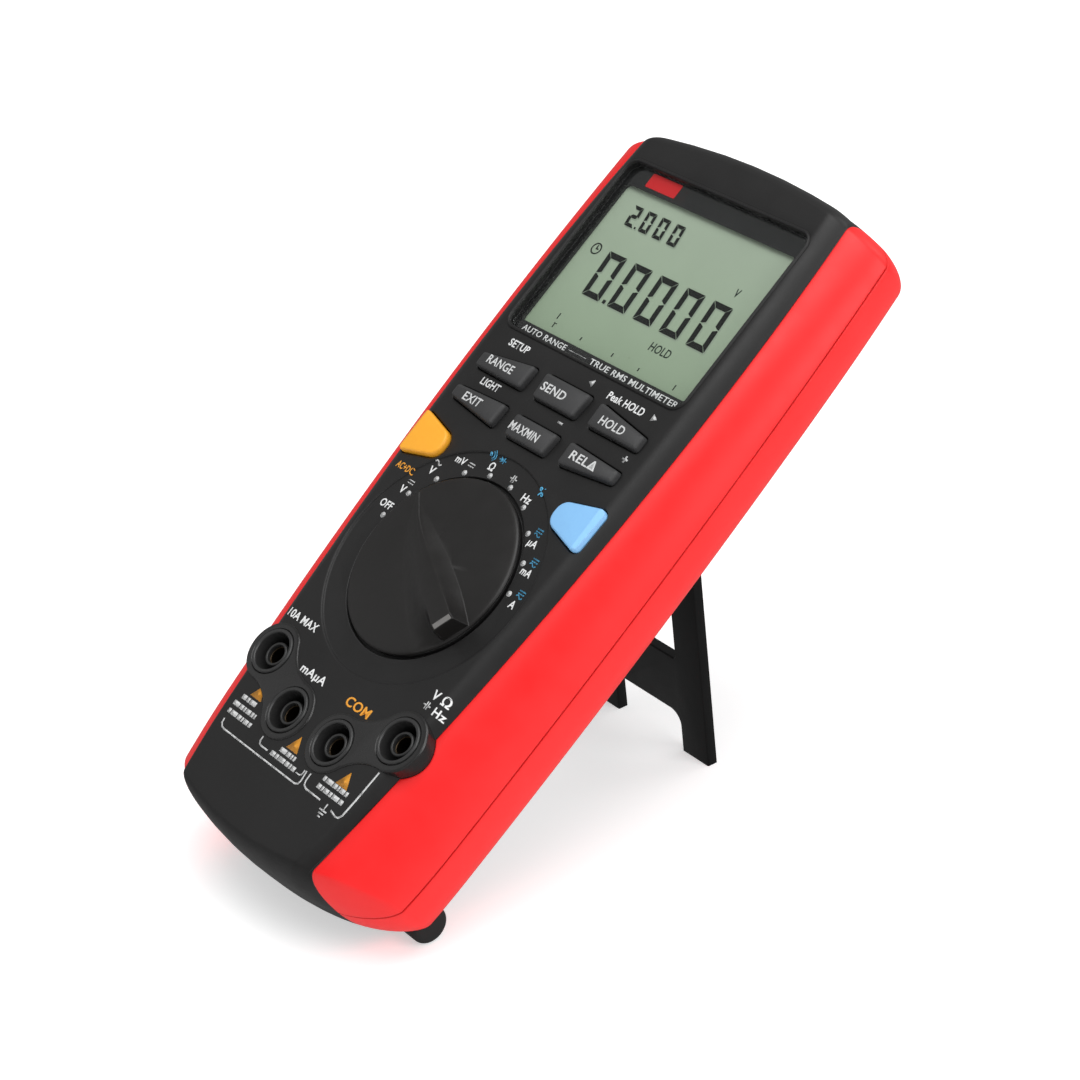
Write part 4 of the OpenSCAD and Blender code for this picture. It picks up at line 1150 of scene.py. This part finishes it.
# Finger ridge, s along it and u across it: the +u side is steep, the -u side falls away in
# a long hollow. Columns: s, height, then u of the +u crest, +u foot, -u crest, -u foot.
RIDGE = np.array([
    (-19.7, 0.72, 2.75, 2.95, 2.3, 1.9),
    (-16, 1.02, 1.9, 3.6, 1.3, -1.2),
    (-13, 1.38, 1.25, 4.0, 0.5, -3.2),
    (-9, 1.9, 1.05, 4.3, 0.0, -5.2),
    (-5, 2.4, 1.1, 4.5, -0.35, -6.6),
    (3, 3.42, 1.5, 4.75, -1.1, -8.6),
    (11, 4.42, 1.8, 4.5, -1.85, -9.9),
    (15, 4.92, 1.95, 4.15, -2.2, -10.3),
    (19, 5.42, 2.1, 3.5, -2.5, -10.2),
    (20.3, 5.58, 2.15, 3.25, -2.6, -10.0)])
POINTER_S, TAIL_S = -19.7, 20.25
CHAMFER = 1.05
CHAMFER_S = TAIL_S - CHAMFER
RIDGE_TURN = Matrix.Rotation(math.radians(153 + 180), 4, "Z")


def smooth(x):
    x = max(0.0, min(1.0, x))
    return x * x * (3 - 2 * x)


def ridge_at(s):
    return [float(np.interp(s, RIDGE[:, 0], column)) for column in RIDGE.T[1:]]


def tail_drop(s):
    return max(0.0, s - CHAMFER_S) * 0.8


def disc_z(s, u):
    return float(np.interp(min(math.hypot(s, u), KNOB_R - 0.6), *zip(*KNOB_TOP[::-1])))


def ridge_section(s):
    """Closed section across the ridge, from the +u foot over the crest to the -u foot."""
    height, steep_crest, steep_foot, slope_crest, slope_foot = ridge_at(s)
    disc_edge = math.sqrt(max((KNOB_R - 0.3) ** 2 - s * s, 0.3))
    slope_foot = max(slope_foot, -max(disc_edge, 2.7))
    fall = tail_drop(s)
    fade = 1 - 0.93 * smooth((s - (TAIL_S - 9.0)) / 8.5)   # hollows the tail end
    row = []
    for j in range(13):
        q = j / 12
        u = steep_foot + (steep_crest - steep_foot) * q
        z = disc_z(s, u) - 0.22
        row.append((u, z + (height - fall - z) * (0.82 * q + 0.18 * q * q)
                    - 0.10 * smooth((q - 0.85) / 0.15)))
    for q in (0.07, 0.3, 0.5, 0.7, 0.93):
        u = steep_crest + (slope_crest - steep_crest) * q
        row.append((u, height - fall + 0.06 * math.sin(math.pi * q) - 0.02))
    for j in range(27):
        q = j / 26
        u = slope_crest + (slope_foot - slope_crest) * q
        z = disc_z(s, u) - 0.05
        top = height - fall * (1 - smooth(q * 3)) - 0.03
        hollow = 1 - (1 - fade) * smooth(q * 4.5)
        row.append((u, z + (top - z) * (1 - smooth(q)) ** 1.25 * hollow))
    return [(s, u, z) for u, z in [(row[0][0], -0.1)] + row + [(row[-1][0], -0.1)]]


def finger_ridge():
    stations = list(np.linspace(POINTER_S, CHAMFER_S, 56))
    stations += [TAIL_S - CHAMFER * 0.93, TAIL_S - CHAMFER * 0.5, TAIL_S - 0.06, TAIL_S]
    sections = [ridge_section(s) for s in stations]
    verts, faces = sum(sections, []), []
    m = len(sections[0])
    last = len(verts) - m
    for i in range(0, last, m):
        for j in range(m):
            k = (j + 1) % m
            faces.append((i + j, i + k, i + m + k, i + m + j))
    faces.append(tuple(range(m)))
    faces.append(tuple(last + j for j in range(m))[::-1])
    ridge = placed(RIDGE_TURN, verts, faces)
    return csg(ridge, "INTERSECT", prism(circle(KNOB_R - 0.1, 160), -1, 9))


def tail_highlight_plate():
    """Pale plate across the tail of the ridge: a painted highlight on its chamfer."""
    verts = []
    for s in (TAIL_S - CHAMFER * 0.90, TAIL_S - CHAMFER * 0.10):
        height, steep_crest, _, slope_crest, _ = ridge_at(s)
        z = height - tail_drop(s)
        a, b = slope_crest + 0.25, steep_crest - 0.3
        verts += [(s, a, z - 0.05), (s, b, z - 0.05), (s, b, z + 0.05), (s, a, z + 0.05)]
    tip = placed(Matrix.Translation((0, DIAL_Y, 0)) @ RIDGE_TURN, verts,
                 [(0, 1, 2, 3), (7, 6, 5, 4), (0, 4, 5, 1), (1, 5, 6, 2), (2, 6, 7, 3),
                  (3, 7, 4, 0)])
    bevel = tip.modifiers.new("soft", "BEVEL")
    bevel.width, bevel.segments = 0.00003, 2
    finish(tip, "dial_tail_highlight_plate", TAIL_HIGHLIGHT, "knob_black", body="dial")


knob = solid(*lathe(KNOB_RIM + KNOB_TOP, 192))
csg(knob, "UNION", finger_ridge())
csg(knob, "UNION", solid(*lathe([(0, -3.2), (8.12, -3.2), (8.12, 0.2), (0, 0.2)], 64)))
knob.data.transform(Matrix.Translation((0, DIAL_Y, 0)))
tail_highlight_plate()
finish_node(knob, "dial_knob", KNOB, "knob_black", body="dial", sharp=36)


# ---------------------------------------------------------------- tilt stand
def tilt_stand():
    """Frame with an open window and an arch between two legs, laid out from its hinge."""
    outer, inner, arch, half_thick = 20.0, 11.3, 3.2, 2.6 / 2
    left = [(-outer, 1.3), (-outer, -84), (-inner - 0.25, -84), (-inner - 0.2, -78),
            (-inner, -70)]
    curve = [(-inner + arch - arch * math.cos(t), -61.6 + arch * math.sin(t))
             for t in np.linspace(0, math.pi / 2, 9)]
    outline = left + curve + mirrored(curve) + mirrored(left)
    stand = prism(counter_clockwise(np.array(outline, float)), -half_thick, half_thick)
    bevel = stand.modifiers.new("bev", "BEVEL")
    bevel.width, bevel.segments = 0.32, 3
    bevel.limit_method, bevel.angle_limit = "ANGLE", math.radians(50)
    bake(stand)
    window = rounded(rect(-inner, inner, -44, 6), [0.8, 0.8, 0.2, 0.2])
    csg(stand, "DIFFERENCE", stacked(window, [
        (0.25, -3), (0.25, -half_thick), (0, -half_thick + 0.25), (0, half_thick - 0.25),
        (0.25, half_thick), (0.25, 3)]))
    peg = [(0, -1.5), (1.1, -1.5), (1.2, -1.4), (1.2, 1.4), (1.1, 1.5), (0, 1.5)]
    for side in (-1, 1):
        csg(stand, "UNION", cross_rod(half_thick - 0.02, 4.35, 48, side * 15.65, 0, 0))
        csg(stand, "UNION", crosswise(peg, 40, side * 21.1, 0, 0))
    opening = Matrix.Rotation(math.radians(56.8), 4, "X")
    stand.data.transform(Matrix.Translation((0, HINGE_Y, HINGE_Z)) @ opening)
    stand.data.transform(TO_ROW)
    # in metres now: trim what dips below the floor
    csg(stand, "DIFFERENCE", solid(*cube(-0.05, 0.05, -0.2, 0.2, -0.1, 0.0)))
    finish_node(stand, "tilt_stand", STAND, "knob_black", body="stand", sharp=34, in_mm=False)


tilt_stand()
drop(OUTER, UNDER_GRIP, GRIP_INNER, CAVITY)

# ---------------------------------------------------------------- CAD nodes kept as they are
METAL_ROUGHNESS = {"brushed_steel": 0.35, "brass": 0.3, "aluminium": 0.35, "chrome": 0.1}
slot_materials = {"screw_steel": STEEL, "contact_brass": BRASS}
slot_of = {part["node"]: part["material_slot"] for part in frame["record"]["subparts"]}
slot_records = {m["slot"]: m for m in frame["record"]["materials"]}
for node_name, obj in frame["nodes"].items():
    if obj.hide_render:
        continue
    slot = slot_of[node_name]
    if slot not in slot_materials:
        record = slot_records[slot]
        kind = record["class"]
        slot_materials[slot] = material(
            "cad_" + slot, tuple(c ** 1.6 for c in record["base_color"][:3]),
            rough=METAL_ROUGHNESS.get(kind, 0.3 if kind == "gloss_plastic" else 0.55),
            metal=1.0 if kind in METAL_ROUGHNESS else 0.0, bump=0.1, edge=0.2, mottle=0.06)
    paint(obj, slot_materials[slot])

# ---------------------------------------------------------------- floor and world
floor_mat, tree = new_material("floor_pale")
pale = map_range(tree, noise(tree, coordinates(tree), 2.0), 0, 1, 0.80, 0.84)
surface = tree.nodes["Principled BSDF"].inputs
tree.links.new(pale, surface["Base Color"])
surface["Roughness"].default_value = 0.9
surface["Emission Color"].default_value = (1, 1, 1, 1)
surface["Emission Strength"].default_value = 0.50
surface["Specular IOR Level"].default_value = 0.1
floor = solid([(-4, -4, 0), (4, -4, 0), (4, 4, 0), (-4, 4, 0)], [(0, 1, 2, 3)])
floor.name = "floor"
floor.data.materials.append(floor_mat)
if floor.data.polygons[0].normal.z < 0:
    floor.data.flip_normals()
floor.visible_glossy = False       # the pale floor is not mirrored in the dark mouldings

world = bpy.data.worlds.new("studio")
bpy.context.scene.world = world
world.use_nodes = True
background = world.node_tree.nodes["Background"].inputs
background["Color"].default_value = (1, 1, 1, 1)
background["Strength"].default_value = 0.30

# ---------------------------------------------------------------- lights and camera
LIGHT_TARGET = Vector((0, 0, 0.06))
LIGHTS = [    # name, position and size in metres, power in watts
    ("key_top", (0.10, -0.10, 1.30), 1.1, 13),
    ("fill_right", (1.05, 0.30, 0.62), 0.75, 6.2),
    ("fill_left", (-0.9, -0.7, 0.6), 0.7, 0.5),
    ("back_rim", (0.15, 1.0, 0.8), 0.7, 2.5),
    ("front_low", (0.60, -1.05, 0.20), 0.45, 0.6)]
for name, position, size, power in LIGHTS:
    light = bpy.data.lights.new(name, "AREA")
    light.shape = "RECTANGLE"
    light.size = light.size_y = size
    light.energy = power
    lamp = add_object(name, light)
    lamp.location = position
    aim = LIGHT_TARGET - Vector(position)
    lamp.rotation_euler = aim.to_track_quat("-Z", "Y").to_euler()

camera = bpy.data.cameras.new("cam")
camera.lens, camera.sensor_width, camera.sensor_fit = 100.0, 36.0, "AUTO"
camera.clip_start, camera.clip_end = 0.01, 20
camera_object = add_object("cam", camera)
# place and view directions in the layout frame
turn = TO_ROW.to_3x3() * 1000
place = TO_ROW @ Vector((445.7, 15.1, 415.8))
forward = (turn @ Vector((-0.7103, 0.1174, -0.6941))).normalized()
down = (turn @ Vector((0.3614, -0.7853, -0.5026))).normalized()
right = forward.cross(-down).normalized()
up = right.cross(forward).normalized()
axes = Matrix((right, up, -forward)).transposed()
camera_object.matrix_world = Matrix.Translation(place) @ axes.to_4x4()
bpy.context.scene.camera = camera_object
bpy.context.scene.view_settings.view_transform = "Standard"
